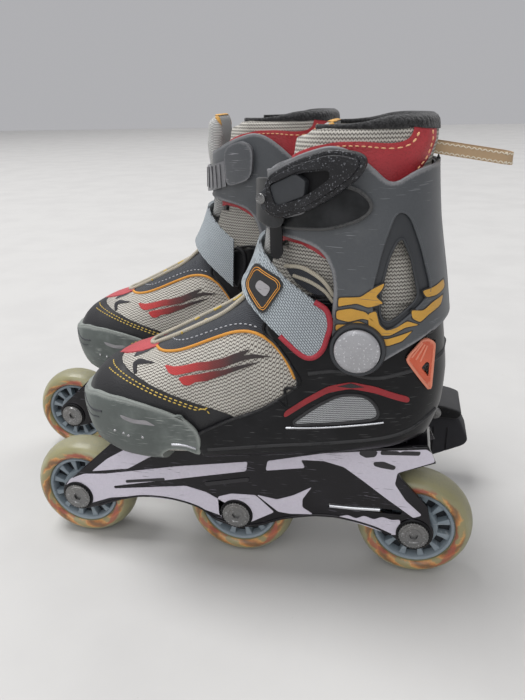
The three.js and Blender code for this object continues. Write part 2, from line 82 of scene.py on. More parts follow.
# ---- Shader maths ------------------------------------------------------------------------------------------


class Wire:
    """A node's output socket whose arithmetic adds Math nodes."""

    def __init__(self, bench: Bench, socket: bpy.types.NodeSocket) -> None:
        """Wraps one socket."""
        self.bench = bench
        self.socket = socket

    def math(self, operation: str, *others: Wire | float) -> Wire:
        """Adds one Math node."""
        return self.bench.math(operation, self, *others)

    def __add__(self, other: Wire | float) -> Wire:
        """Sum."""
        return self.math("ADD", other)

    __radd__ = __add__

    def __sub__(self, other: Wire | float) -> Wire:
        """Difference."""
        return self.math("SUBTRACT", other)

    def __rsub__(self, other: float) -> Wire:
        """Difference from a number."""
        return self.bench.math("SUBTRACT", other, self)

    def __mul__(self, other: Wire | float) -> Wire:
        """Product."""
        return self.math("MULTIPLY", other)

    __rmul__ = __mul__

    def __abs__(self) -> Wire:
        """Absolute value."""
        return self.math("ABSOLUTE")

    def fraction(self) -> Wire:
        """Fractional part."""
        return self.math("FRACT")

    def wave(self) -> Wire:
        """Triangle wave from 0 to 1 and back over two units."""
        return self.math("PINGPONG", 1.0)

    def sine(self) -> Wire:
        """Sine of radians."""
        return self.math("SINE")

    def step(self, low: float, high: float) -> Wire:
        """Smooth step from 0 at low to 1 at high.

        Args:
            low: where it starts.
            high: where it ends; below low turns the step round.

        Returns:
            The step.
        """
        settings = {"interpolation_type": "SMOOTHSTEP"}
        inputs = {"Value": self, "From Min": low, "From Max": high}
        return self.bench.node("ShaderNodeMapRange", settings, inputs)


class Bench:
    """Builds one material's nodes."""

    def __init__(self, name: str) -> None:
        """Starts an empty material with its shader and output.

        Args:
            name: the material's name.
        """
        self.material = bpy.data.materials.new(name)
        self.material.use_nodes = True
        self.tree = self.material.node_tree
        self.tree.nodes.clear()
        self.shader = self.tree.nodes.new("ShaderNodeBsdfPrincipled")
        output = self.tree.nodes.new("ShaderNodeOutputMaterial")
        self.tree.links.new(self.shader.outputs[0], output.inputs["Surface"])

    def node(self, kind: str, settings: dict[str, Any] | None = None,
             inputs: dict[str | int, Any] | None = None,
             output: int | str = 0) -> Wire:
        """Adds one node of any type.

        Args:
            kind: the node's type.
            settings: its properties, set first; "stops" fills a colour ramp.
            inputs: values or wires by socket name or number.
            output: the output that the wire is taken from.

        Returns:
            The chosen output.
        """
        made = self.tree.nodes.new(kind)
        for name, value in (settings or {}).items():
            if name == "stops":
                self._fill_ramp(made, value)
            else:
                setattr(made, name, value)
        for name, value in (inputs or {}).items():
            self.put(made.inputs[name], value)
        return Wire(self, made.outputs[output])

    @staticmethod
    def _fill_ramp(made: bpy.types.Node, stops: Sequence[tuple[float, Colour]]) -> None:
        """Sets a colour ramp's stops.

        Args:
            made: the ramp node.
            stops: position and colour of each.
        """
        elements = made.color_ramp.elements
        while len(elements) < len(stops):
            elements.new(1.0)
        for element, (position, colour) in zip(elements, stops):
            element.position = position
            element.color = (*colour, 1.0)

    def put(self, socket: bpy.types.NodeSocket, value: Any) -> None:
        """Links a wire to a socket, or sets its value.

        Args:
            socket: the input socket.
            value: a wire, number, colour or vector.
        """
        if isinstance(value, Wire):
            self.tree.links.new(value.socket, socket)
        elif socket.type == "RGBA" and len(value) == 3:
            socket.default_value = (*value, 1.0)
        else:
            socket.default_value = value

    def math(self, operation: str, *operands: Wire | float) -> Wire:
        """Adds one Math node."""
        return self.node("ShaderNodeMath", {"operation": operation}, dict(enumerate(operands)))

    def attribute(self, name: str) -> Wire:
        """A vector stored on the piece's points."""
        return self.node("ShaderNodeAttribute", {"attribute_name": name}, output="Vector")

    def split(self, vector: Wire) -> tuple[Wire, Wire, Wire]:
        """The three parts of a vector."""
        part = self.node("ShaderNodeSeparateXYZ", inputs={"Vector": vector})
        return part, *(Wire(self, part.socket.node.outputs[i]) for i in (1, 2))

    def stretch(self, vector: Wire, scale: Triple, turn: Triple = (0, 0, 0)) -> Wire:
        """Turns and scales coordinates."""
        inputs = {"Vector": vector, "Rotation": turn, "Scale": scale}
        return self.node("ShaderNodeMapping", {"vector_type": "POINT"}, inputs)

    def noise(self, vector: Wire, scale: float, detail: float = 3.0, roughness: float = 0.55) -> Wire:
        """Fractal noise."""
        inputs = {"Vector": vector, "Scale": scale, "Detail": detail, "Roughness": roughness}
        return self.node("ShaderNodeTexNoise", {}, inputs)

    def cells(self, vector: Wire, scale: float) -> Wire:
        """Voronoi distance."""
        return self.node("ShaderNodeTexVoronoi", {}, {"Vector": vector, "Scale": scale})

    def mix(self, share: Wire | float, first: Wire | Colour, second: Wire | Colour) -> Wire:
        """Blends two colours."""
        settings = {"data_type": "RGBA", "clamp_factor": True}
        return self.node("ShaderNodeMix", settings, {0: share, 6: first, 7: second}, output=2)

    def ramp(self, value: Wire, stops: Sequence[tuple[float, Colour]]) -> Wire:
        """A colour ramp."""
        return self.node("ShaderNodeValToRGB", {"stops": stops}, {"Fac": value})

    def bump(self, height: Wire, depth: float, strength: float = 1.0) -> None:
        """Feeds a bump to the shader's normal."""
        inputs = {"Height": height, "Distance": depth * MM, "Strength": strength}
        self.put(self.shader.inputs["Normal"], self.node("ShaderNodeBump", {}, inputs))

    def shade(self, **values: Any) -> None:
        """Sets the shader's sockets; an underscore in a name stands for a space."""
        for name, value in values.items():
            self.put(self.shader.inputs[name.replace("_", " ")], value)


# ---- Finishes ----------------------------------------------------------------------------------------------


class Slot(Enum):
    """The record's material slots."""

    SHELL = "black_shell"
    CAP = "cap_plastic"
    MESH = "mesh_fabric"
    LINING = "lining"
    TONGUE = "tongue_fabric"
    CUFF = "cuff_plastic"
    WEBBING = "webbing"
    LOOP = "loop_webbing"
    BUTTON = "button_plastic"
    STEEL = "steel"
    TYRE = "tyre_urethane"
    HUB = "hub_plastic"
    BRAKE = "brake_rubber"


def shaded(colour: Colour, share: float) -> Colour:
    """A lighter or darker shade of a colour."""
    return tuple(min(1.0, c * share) for c in colour)


@dataclass(frozen=True)
class Finish:
    """What a piece's surface is made of."""

    name: str
    slot: Slot

    def dress(self, bench: Bench) -> None:
        """Builds the nodes; each finish has its own."""
        raise NotImplementedError

    def material(self) -> bpy.types.Material:
        """The finish as a material, made once."""
        found = bpy.data.materials.get(self.name)
        if found:
            return found
        bench = Bench(self.name)
        self.dress(bench)
        return bench.material


@dataclass(frozen=True)
class Moulded(Finish):
    """Moulded plastic, painted film or bare metal, with mottling, scratches and worn edges."""

    colour: Colour = (0.1, 0.1, 0.1)
    rough: float = 0.4
    metal: float = 0.0
    coat: float = 0.0
    gloss: float = 0.35  # specular level
    speck: Colour | None = None  # colour of bright flecks; on the lever these are painted glints
    grain: float = 0.0  # depth of the grain in millimetres
    grain_size: float = 1.2  # its size in millimetres
    mottle: Colour | None = None  # colour of the cloudy patches
    mottle_share: float = 0.5
    scratch: Colour | None = None  # colour of fine scratches
    scratches: float = 0.5  # how many
    wear: Colour | None = None  # colour along worn edges
    wear_width: float = 1.6

    def dress(self, bench: Bench) -> None:
        """Builds the nodes."""
        place = bench.attribute("skate")
        cloud = bench.noise(place, 38.0, 4.0, 0.6)
        fine = bench.noise(place, 1000.0 / self.grain_size, 2.0)
        tone = bench.mix(fine.step(0.3, 0.7) * 0.16, self.colour, shaded(self.colour, 0.6))
        if self.mottle:
            tone = bench.mix(cloud.step(0.42, 0.68) * self.mottle_share, tone, self.mottle)
        rough: Wire | float = self.rough + (cloud - 0.5) * 0.22
        height = fine
        if self.speck:
            tone = bench.mix(fine.step(0.60, 0.68), tone, self.speck)
        if self.scratch:
            lines = self._scratches(bench, place)
            tone = bench.mix(lines, tone, self.scratch)
            rough = rough + lines * 0.25
            height = height - lines * 0.6
        if self.wear:
            rim, _, _ = bench.split(bench.attribute("rim"))
            ragged = rim * 1000.0 + (cloud - 0.5) * 3.0 + (fine - 0.5) * 1.5
            worn = ragged.step(self.wear_width, 0.0)
            tone = bench.mix(worn * 0.75, tone, self.wear)
            rough = rough + worn * 0.15
        bench.shade(Base_Color=tone, Roughness=rough, Metallic=self.metal, Coat_Weight=self.coat,
                    Coat_Roughness=0.12,
                    Specular_IOR_Level=self.gloss)
        if self.grain:
            bench.bump(height, self.grain)

    def _scratches(self, bench: Bench, place: Wire) -> Wire:
        """Thin streaks in three directions.

        Args:
            bench: the bench.
            place: the coordinates.

        Returns:
            1 on a scratch.
        """
        total: Wire | None = None
        for turn, lean in ((0.35, 0.2), (-0.9, 0.4), (1.45, 0.8)):
            streaks = bench.noise(bench.stretch(place, (80.0, 80.0, 1500.0), (lean, turn, 0.0)), 1.0, 1.0)
            line = streaks.step(0.72 - 0.06 * self.scratches, 0.76)
            total = line if total is None else total.math("MAXIMUM", line)
        patch = bench.noise(place, 55.0, 2.0).step(0.42, 0.62)
        return total * patch


@dataclass(frozen=True)
class Knit(Finish):
    """Zigzag rows of coarse knitted mesh."""

    light: Colour = (0.60, 0.575, 0.515)
    dark: Colour = (0.085, 0.065, 0.055)
    pitch: float = 2.0  # from row to row, millimetres
    stitch: float = 2.1  # from zig to zig
    sway: float = 0.55  # how far a zig goes, in rows
    groove: float = 0.42

    def dress(self, bench: Bench) -> None:
        """Builds the nodes."""
        along, across, _ = bench.split(bench.attribute("weave"))
        place = bench.attribute("skate")
        zig = (along * (2000.0 / self.stitch)).wave() * self.sway
        row = (across * (1000.0 / self.pitch) + zig).fraction()
        edge = abs(row - 0.5) * 2.0
        strand = (along * (2000.0 / self.stitch)).fraction()
        pinch = (abs(strand - 0.5) * 2.0).step(0.75, 1.0)
        gap = edge.step(self.groove, 0.97).math("MAXIMUM", pinch * 0.45)
        soil = bench.noise(place, 30.0, 4.0).step(0.35, 0.75)
        light = bench.mix(soil * 0.4, self.light, shaded(self.light, 0.66))
        fibre = bench.noise(place, 1800.0, 2.0)
        light = bench.mix(fibre.step(0.4, 0.7) * 0.3, light, shaded(self.light, 1.35))
        bench.shade(Base_Color=bench.mix(gap, light, self.dark), Roughness=0.82 + gap * 0.15,
                    Sheen_Weight=0.12)
        bench.bump((1.0 - gap) + fibre * 0.2, 0.5)


@dataclass(frozen=True)
class Webbing(Finish):
    """Coarse woven webbing: rows of bars with dark gaps."""

    light: Colour = (0.40, 0.445, 0.475)
    dark: Colour = (0.115, 0.13, 0.145)
    pitch: float = 1.15
    bar: float = 1.6
    lean: float = 0.0  # turn of the weave, radians

    def dress(self, bench: Bench) -> None:
        """Builds the nodes."""
        place = bench.stretch(bench.attribute("skate"), (1.0, 1.0, 1.0), (0.0, self.lean, 0.0))
        x, y, z = bench.split(place)
        row = z * (1000.0 / self.pitch)
        shift = row.math("FLOOR").math("MODULO", 2.0) * 0.5
        bar = ((x + y * 0.6) * (1000.0 / self.bar) + shift).fraction()
        across = (abs(row.fraction() - 0.5) * 2.0).step(0.55, 0.98)
        along = (abs(bar - 0.5) * 2.0).step(0.72, 1.0)
        gap = across.math("MAXIMUM", along * 0.85)
        soil = bench.noise(place, 45.0, 4.0).step(0.38, 0.72)
        fibre = bench.noise(place, 2200.0, 2.0)
        light = bench.mix(soil * 0.35, self.light, shaded(self.light, 0.7))
        light = bench.mix(fibre.step(0.4, 0.7) * 0.35, light, shaded(self.light, 1.3))
        bench.shade(Base_Color=bench.mix(gap, light, self.dark), Roughness=0.8 + gap * 0.15, Sheen_Weight=0.1)
        bench.bump((1.0 - gap) + fibre * 0.25, 0.4)


@dataclass(frozen=True)
class Leather(Finish):
    """Coated leather with a pebbled grain and darker creases."""

    colour: Colour = (0.55, 0.05, 0.06)
    rough: float = 0.45
    grain: float = 0.12

    def dress(self, bench: Bench) -> None:
        """Builds the nodes."""
        place = bench.attribute("skate")
        pebble = bench.cells(place, 1100.0)
        cloud = bench.noise(place, 40.0, 4.0)
        tone = bench.mix(cloud.step(0.35, 0.7) * 0.4, self.colour, shaded(self.colour, 0.55))
        tone = bench.mix(pebble.step(0.5, 0.9) * 0.35, tone, shaded(self.colour, 0.4))
        bench.shade(Base_Color=tone, Roughness=self.rough + (cloud - 0.5) * 0.25)
        bench.bump(1.0 - pebble + cloud * 0.6, self.grain)


@dataclass(frozen=True)
class Fleece(Finish):
    """Short curled pile, or matt lining cloth."""

    colour: Colour = (0.006, 0.006, 0.007)
    tips: Colour = (0.035, 0.035, 0.037)
    depth: float = 0.9
    size: float = 1.3
    sheen: float = 0.25

    def dress(self, bench: Bench) -> None:
        """Builds the nodes."""
        place = bench.attribute("skate")
        curl = bench.noise(place, 1000.0 / self.size, 3.0, 0.7)
        tuft = bench.cells(place, 620.0 / self.size)
        tone = bench.mix(curl.step(0.4, 0.66), self.colour, self.tips)
        bench.shade(Base_Color=tone, Roughness=0.92 + (curl - 0.5) * 0.1, Sheen_Weight=self.sheen)
        bench.bump(curl + (1.0 - tuft) * 0.5, self.depth)


@dataclass(frozen=True)
class Cloth(Finish):
    """Plain woven cloth or fine mesh, read along the piece."""

    light: Colour = (0.5, 0.5, 0.5)
    dark: Colour = (0.2, 0.2, 0.2)
    pitch: float = 1.2
    depth: float = 0.25

    def dress(self, bench: Bench) -> None:
        """Builds the nodes."""
        along, across, _ = bench.split(bench.attribute("weave"))
        place = bench.attribute("skate")
        warp = (along * (TURN / self.pitch)).sine()
        weft = (across * (TURN / self.pitch)).sine()
        knot = warp * weft
        dots = knot.step(-0.25, 0.45)
        soil = bench.noise(place, 35.0, 4.0).step(0.35, 0.75)
        tone = bench.mix(dots, self.dark, self.light)
        tone = bench.mix(soil * 0.3, tone, shaded(self.light, 0.6))
        bench.shade(Base_Color=tone, Roughness=0.86 + soil * 0.08, Sheen_Weight=0.15)
        bench.bump(dots, self.depth)


@dataclass(frozen=True)
class Streak(Finish):
    """Embroidery that runs from one colour at the front to another at the rear, with satin threads."""

    front: Colour = (0.6, 0.03, 0.03)
    rear: Colour = (0.03, 0.02, 0.02)
    start: float = 24.0  # x where the front colour begins to darken, millimetres
    end: float = -14.0

    def dress(self, bench: Bench) -> None:
        """Builds the nodes."""
        place = bench.attribute("skate")
        x, _, z = bench.split(place)
        cloud = bench.noise(place, 220.0, 2.0)
        share = (x * 1000.0 + (cloud - 0.5) * 8.0).step(self.start, self.end)
        thread = ((x + z * 0.6) * (TURN / 0.8)).sine()
        middle = tuple(f * 0.35 + r * 0.3 for f, r in zip(self.front, self.rear))
        tone = bench.ramp(share, ((0.0, self.front), (0.45, middle), (1.0, self.rear)))
        tone = bench.mix(thread.step(-0.4, -1.0) * 0.5, tone, (0.02, 0.012, 0.012))
        bench.shade(Base_Color=tone, Roughness=0.55 + cloud * 0.1, Sheen_Weight=0.2)
        bench.bump(thread, 0.15)


@dataclass(frozen=True)
class Urethane(Finish):
    """Cloudy cast urethane, greyer and duller on the tread."""

    colour: Colour = (0.27, 0.25, 0.13)
    worn: Colour = (0.25, 0.24, 0.165)

    def dress(self, bench: Bench) -> None:
        """Builds the nodes."""
        place = bench.attribute("skate")
        x, _, z = bench.split(place)
        radius = (x * x + z * z).math("SQRT") * 1000.0
        tread = radius.step(32.5, 35.6)
        cloud = bench.noise(place, 60.0, 4.0)
        dust = bench.noise(place, 700.0, 3.0).step(0.5, 0.8)
        tone = bench.mix(cloud.step(0.3, 0.75) * 0.45, self.colour, (0.36, 0.345, 0.21))
        tone = bench.mix(tread * 0.6, tone, self.worn)
        tone = bench.mix(dust * tread * 0.5, tone, (0.16, 0.15, 0.13))
        bench.shade(Base_Color=tone, Roughness=0.3 + tread * 0.32, Subsurface_Weight=0.35,
                    Subsurface_Radius=(1.0, 0.85, 0.45), Subsurface_Scale=0.006, Coat_Weight=0.15)
        bench.bump(dust + cloud, 0.06)


@dataclass(frozen=True)
class FlamePrint(Finish):
    """A ring of flame tongues printed under a tyre's side."""

    def dress(self, bench: Bench) -> None:
        """Builds the nodes."""
        place = bench.attribute("skate")
        x, _, z = bench.split(place)
        radius = (x * x + z * z).math("SQRT") * 1000.0
        angle = bench.math("ARCTAN2", z, x)
        cloud = bench.noise(place, 130.0, 3.0)
        swirl = (angle * 7.0 + radius * 0.55 + cloud * 5.0).sine()
        tongue = (angle * 3.0 - radius * 0.4 + cloud * 4.0).sine()
        hot = bench.ramp(
            swirl * 0.5 + 0.5,
            ((0.0, (0.20, 0.11, 0.05)), (0.35, (0.46, 0.19, 0.06)), (0.6, (0.60, 0.32, 0.11)),
             (0.85, (0.30, 0.26, 0.13))),
        )
        tone = bench.mix(tongue.step(0.6, 0.9) * 0.7, hot, (0.36, 0.07, 0.05))
        fade = (radius + (cloud - 0.5) * 5.0).step(29.3, 31.3)
        tone = bench.mix(fade, tone, (0.28, 0.26, 0.14))
        bench.shade(Base_Color=tone, Roughness=0.32 + cloud * 0.1, Coat_Weight=0.2, Subsurface_Weight=0.15,
                    Subsurface_Scale=0.003)


@dataclass(frozen=True)
class Ground(Finish):
    """The pale floor, with faint specks."""

    def dress(self, bench: Bench) -> None:
        """Builds the nodes."""
        place = bench.node("ShaderNodeTexCoord", output="Object")
        speck = bench.noise(place, 170.0, 2.0).step(0.77, 0.80)
        cloud = bench.noise(place, 9.0, 4.0).step(0.35, 0.7)
        tone = bench.mix(cloud, (0.56, 0.553, 0.54), (0.53, 0.523, 0.512))
        bench.shade(Base_Color=bench.mix(speck * 0.5, tone, (0.3, 0.28, 0.26)), Roughness=0.62 + cloud * 0.1)


BLACK_SHELL = Moulded("black_satin_shell", Slot.SHELL, (0.006, 0.006, 0.007), 0.34, gloss=0.2, grain=0.05,
                      grain_size=1.6, mottle=(0.016, 0.016, 0.018), scratch=(0.10, 0.10, 0.10), scratches=0.2,
                      wear=(0.05, 0.05, 0.052), wear_width=1.0)
BLACK_GLOSS = Moulded("black_gloss_frame", Slot.SHELL, (0.005, 0.004, 0.006), 0.2, coat=0.25, gloss=0.2,
                      grain=0.012,
                      mottle=(0.012, 0.011, 0.015), scratch=(0.14, 0.13, 0.16), scratches=0.3)
BLACK_PLAIN = Moulded("black_plain_plastic", Slot.SHELL, (0.007, 0.007, 0.008), 0.42, gloss=0.2, grain=0.04)
CAP_GREY = Moulded("scuffed_cap", Slot.CAP, (0.092, 0.105, 0.099), 0.52, grain=0.06, grain_size=0.9,
                   mottle=(0.17, 0.19, 0.178), mottle_share=0.8, scratch=(0.36, 0.38, 0.36), scratches=1.0,
                   wear=(0.30, 0.32, 0.30), wear_width=2.2)
CUFF_GREY = Moulded("satin_cuff", Slot.CUFF, (0.082, 0.088, 0.096), 0.40, grain=0.02, grain_size=1.0,
                    mottle=(0.108, 0.115, 0.122), scratch=(0.19, 0.20, 0.21), scratches=0.3,
                    wear=(0.26, 0.26, 0.27), wear_width=1.5)
CUFF_RECESS = Moulded("cuff_recess", Slot.CUFF, (0.040, 0.043, 0.048), 0.46, grain=0.03,
                      mottle=(0.055, 0.058, 0.062))
BUCKLE_GREY = Moulded("buckle_grey", Slot.CUFF, (0.085, 0.09, 0.098), 0.3, coat=0.2, grain=0.02,
                      scratch=(0.3, 0.3, 0.32), scratches=0.4, wear=(0.2, 0.2, 0.21))
BUCKLE_DARK = Moulded("buckle_dark", Slot.CUFF, (0.008, 0.009, 0.010), 0.40, gloss=0.2, grain=0.03,
                      mottle=(0.045, 0.046, 0.05), wear=(0.1, 0.1, 0.1), wear_width=0.8)
# bright specks on the black lever: painted glints, over a real gritty grain
LEVER_GRIT_AND_GLINTS = Moulded("lever_grit_and_painted_glints", Slot.SHELL, (0.008, 0.008, 0.010), 0.36, grain=0.45, grain_size=1.0,
                     mottle=(0.03, 0.031, 0.035), mottle_share=0.6, speck=(0.15, 0.155, 0.17))
BUTTON_RED = Moulded("button_red", Slot.BUTTON, (0.62, 0.115, 0.055), 0.42, grain=0.03,
                     mottle=(0.70, 0.17, 0.09), wear=(0.75, 0.3, 0.2), wear_width=0.9)
PALE_FILM = Moulded("pale_frame_film", Slot.SHELL, (0.60, 0.565, 0.645), 0.3, coat=0.2, grain=0.01,
                    mottle=(0.55, 0.53, 0.60), scratch=(0.14, 0.13, 0.16), scratches=0.15)
DARK_FILM = Moulded("dark_frame_film", Slot.SHELL, (0.012, 0.011, 0.014), 0.3, coat=0.3)
GOLD_FILM = Moulded("golden_flame_film", Slot.CUFF, (0.60, 0.33, 0.055), 0.42, grain=0.015, grain_size=0.8,
                    mottle=(0.50, 0.27, 0.05), scratch=(0.12, 0.11, 0.11), scratches=0.9)
FLAME_EDGE = Moulded("flame_edge_film", Slot.CUFF, (0.035, 0.032, 0.03), 0.45, mottle=(0.07, 0.068, 0.066))
RED_FILM = Moulded("dark_red_film", Slot.SHELL, (0.30, 0.022, 0.028), 0.35, grain=0.02,
                   mottle=(0.14, 0.015, 0.02))
# silver metal trim; on the frame's rib it stands in for a painted highlight along the ridge
SILVER_TRIM_AND_HIGHLIGHT = Moulded("silver_trim_and_highlight", Slot.STEEL, (0.62, 0.63, 0.66), 0.22, metal=0.9, mottle=(0.4, 0.4, 0.43))
STEEL = Moulded("dark_bolt_steel", Slot.STEEL, (0.20, 0.20, 0.20), 0.30, metal=0.9, speck=(0.42, 0.42, 0.42),
                grain=0.03, mottle=(0.24, 0.23, 0.22), scratch=(0.4, 0.4, 0.4), scratches=0.5)
BEARING = Moulded("bearing_steel", Slot.STEEL, (0.45, 0.45, 0.46), 0.25, metal=1.0, mottle=(0.25, 0.25, 0.26))
BEARING_CAD = Moulded("bearing_set_steel", Slot.STEEL, (0.42, 0.42, 0.43), 0.28, metal=1.0)
RIVET_SILVER = Moulded("speckled_rivet", Slot.STEEL, (0.40, 0.40, 0.42), 0.40, metal=0.4,
                       speck=(0.62, 0.62, 0.64),
                       grain=0.10, grain_size=1.1, mottle=(0.30, 0.30, 0.31), scratch=(0.12, 0.12, 0.13),
                       scratches=0.8)
HUB_BLUE = Moulded("blue_grey_hub", Slot.HUB, (0.21, 0.255, 0.29), 0.42, grain=0.02,
                   mottle=(0.28, 0.32, 0.35),
                   scratch=(0.45, 0.48, 0.5), scratches=0.3)
# near-black disc inside the hub between its spoke sets: painted shade
HUB_SHADE = Moulded("hub_shadow", Slot.HUB, (0.018, 0.021, 0.026), 0.6, mottle=(0.04, 0.045, 0.05))
RUBBER = Moulded("brake_rubber", Slot.BRAKE, (0.02, 0.02, 0.021), 0.68, grain=0.12, grain_size=1.0,
                 mottle=(0.05, 0.048, 0.045), wear=(0.09, 0.088, 0.085), wear_width=2.0)
KNIT = Knit("beige_zigzag_knit", Slot.MESH)
BADGE_GREY = Moulded("badge_grey", Slot.CAP, (0.30, 0.29, 0.30), 0.4, mottle=(0.14, 0.13, 0.14),
                     scratch=(0.1, 0.1, 0.1), scratches=0.9)
KNIT_COLLAR = Knit("beige_collar_knit", Slot.LINING, (0.58, 0.555, 0.50), (0.10, 0.085, 0.075), 1.9, 2.0)
SILVER_MESH = Knit("silver_mesh", Slot.SHELL, (0.42, 0.43, 0.44), (0.05, 0.05, 0.055), 1.3, 1.5, 0.3, 0.6)
STRAP_WEAVE = Webbing("pale_blue_webbing", Slot.WEBBING, lean=0.87)
LOOP_WEAVE = Webbing("loop_webbing", Slot.LOOP, (0.115, 0.098, 0.085), (0.035, 0.028, 0.022), 1.2, 1.6)
LOOP_ORANGE = Webbing("loop_orange", Slot.LOOP, (0.30, 0.12, 0.035), (0.16, 0.07, 0.03), 1.2, 1.6)
CREAM_THREAD = Moulded("cream_thread", Slot.LOOP, (0.68, 0.62, 0.50), 0.75, grain=0.05)
YELLOW_THREAD = Moulded("yellow_thread", Slot.MESH, (0.62, 0.44, 0.10), 0.7, grain=0.05)
ORANGE_CORD = Moulded("orange_cord", Slot.MESH, (0.66, 0.29, 0.045), 0.68, grain=0.08,
                      mottle=(0.75, 0.40, 0.10))
PALE_THREAD = Moulded("pale_thread", Slot.MESH, (0.48, 0.49, 0.52), 0.7, grain=0.05)
PEACH_THREAD = Moulded("peach_thread", Slot.LINING, (0.74, 0.42, 0.22), 0.7, grain=0.05)
RED_LEATHER = Leather("red_leather", Slot.LINING, (0.46, 0.035, 0.045))
RED_TIP = Leather("red_toe_leather", Slot.MESH, (0.50, 0.07, 0.08), 0.5)
RED_BINDING = Leather("red_binding", Slot.WEBBING, (0.36, 0.02, 0.035), 0.6, 0.2)
BLACK_LEATHER = Leather("black_leather", Slot.MESH, (0.012, 0.012, 0.014), 0.5, 0.1)
PATCH_BLACK = Leather("patch_black", Slot.WEBBING, (0.014, 0.014, 0.015), 0.55, 0.08)
FLEECE = Fleece("black_fleece", Slot.LINING)
LINER = Fleece("liner_cloth", Slot.LINING, (0.03, 0.03, 0.034), (0.055, 0.055, 0.06), 0.2, 0.9, 0.1)
GUSSET = Cloth("dark_gusset", Slot.MESH, (0.045, 0.050, 0.062), (0.015, 0.017, 0.022), 1.0, 0.15)
TONGUE_MESH = Cloth("pale_tongue_mesh", Slot.TONGUE, (0.60, 0.60, 0.585), (0.36, 0.36, 0.35), 1.7, 0.35)
CREAM_CLOTH = Cloth("cream_cloth", Slot.MESH, (0.60, 0.55, 0.44), (0.42, 0.38, 0.30), 1.0, 0.2)
TONGUE_TRIM = Leather("tongue_trim", Slot.TONGUE, (0.70, 0.38, 0.09), 0.6, 0.1)
VAMP_STREAK = Streak("vamp_streak", Slot.MESH)
TYRE = Urethane("olive_urethane", Slot.TYRE)
TYRE_PRINT = FlamePrint("tyre_flames", Slot.TYRE)


# ---- Shapes, in millimetres --------------------------------------------------------------------------------


def rounded(outline: Outline, radius: float, steps: int = 4) -> list[Pair]:
    """Rounds an outline's corners.

    Args:
        outline: a closed side-view outline.
        radius: how far from a corner its curve begins, at most.
        steps: points on each curve, less one.

    Returns:
        The smoother outline.
    """
    made: list[Pair] = []
    for i, corner in enumerate(outline):
        here = Vector(corner)
        ends = []
        for other in (outline[i - 1], outline[(i + 1) % len(outline)]):
            way = Vector(other) - here
            ends.append(here + way.normalized() * min(radius, way.length * 0.48))
        for step in range(steps + 1):
            t = step / steps
            point = ends[0] * (1 - t) ** 2 + here * 2 * t * (1 - t) + ends[1] * t * t
            made.append((point.x, point.y))
    return made


def grown(outline: Outline, distance: float) -> list[Pair]:
    """Moves an outline outwards.

    Args:
        outline: a closed outline.
        distance: how far; below zero moves it inwards.

    Returns:
        The moved outline.
    """
    points = np.array(outline, float)
    following = np.roll(points, -1, 0)
    area = np.sum(points[:, 0] * following[:, 1] - following[:, 0] * points[:, 1])
    edge = following - points
    edge /= np.maximum(np.linalg.norm(edge, axis=1, keepdims=True), 1e-9)
    normal = np.stack([edge[:, 1], -edge[:, 0]], 1) * math.copysign(1.0, area)
    corner = normal + np.roll(normal, 1, 0)
    corner /= np.maximum(np.linalg.norm(corner, axis=1, keepdims=True), 0.5)
    return [tuple(p) for p in points + corner * distance]


def arc(centre: Pair, radius: float, start: float, end: float, steps: int) -> list[Pair]:
    """Points on an arc; the angles are in half turns."""
    turns = [math.pi * (start + (end - start) * i / steps) for i in range(steps + 1)]
    return [(centre[0] + radius * math.cos(a), centre[1] + radius * math.sin(a)) for a in turns]


def curve_through(a: np.ndarray, b: np.ndarray, c: np.ndarray, d: np.ndarray, t: Any) -> np.ndarray:
    """A smooth curve from b to c that heads as a and d say.

    Args:
        a: the point before.
        b: the point it starts from.
        c: the point it ends at.
        d: the point after.
        t: how far along it, 0 to 1.

    Returns:
        The point there.
    """
    rising, bending = 2 * a - 5 * b + 4 * c - d, 3 * b - a - 3 * c + d
    return 0.5 * (2 * b + (c - a) * t + rising * t * t + bending * t**3)


def along(points: Sequence[Sequence[float]], step: float) -> np.ndarray:
    """Smooths a path and spaces its points evenly.

    Args:
        points: the path's points.
        step: distance between the new points.

    Returns:
        The new points.
    """
    path = np.array(points, float)
    padded = np.vstack([2 * path[0] - path[1], path, 2 * path[-1] - path[-2]])
    dense = []
    for i in range(1, len(padded) - 2):
        a, b, c, d = padded[i - 1 : i + 3]
        for t in np.linspace(0, 1, 12, endpoint=False):
            dense.append(curve_through(a, b, c, d, t))
    dense = np.array([*dense, path[-1]])
    run = np.concatenate([[0], np.cumsum(np.linalg.norm(np.diff(dense, axis=0), axis=1))])
    spots = np.linspace(0, run[-1], max(2, round(run[-1] / step) + 1))
    return np.stack([np.interp(spots, run, dense[:, k]) for k in range(dense.shape[1])], 1)


def prism(outlines: Iterable[Outline], near: float = -FAR, far: float = FAR, bevel: float = 0.0) -> Shape:
    """Side-view outlines carried through from y = near to y = far.

    Args:
        outlines: closed outlines that don't meet.
        near: where the solids begin.
        far: where they end.
        bevel: rounding of their long edges.

    Returns:
        The solids.
    """
    made = bmesh.new()
    for outline in outlines:
        corners = [made.verts.new((x, near, z)) for x, z in outline]
        made.faces.new(corners)
    grown_out = bmesh.ops.extrude_face_region(made, geom=list(made.faces))
    moved = [e for e in grown_out["geom"] if isinstance(e, bmesh.types.BMVert)]
    bmesh.ops.translate(made, verts=moved, vec=(0, far - near, 0))
    bmesh.ops.recalc_face_normals(made, faces=made.faces)
    if bevel:
        edges = [e for e in made.edges if abs(e.verts[0].co.y - e.verts[1].co.y) < 1e-6]
        bmesh.ops.bevel(made, geom=edges, offset=bevel, affect="EDGES", segments=3, profile=0.5, material=-1,
                        clamp_overlap=True)
    return made


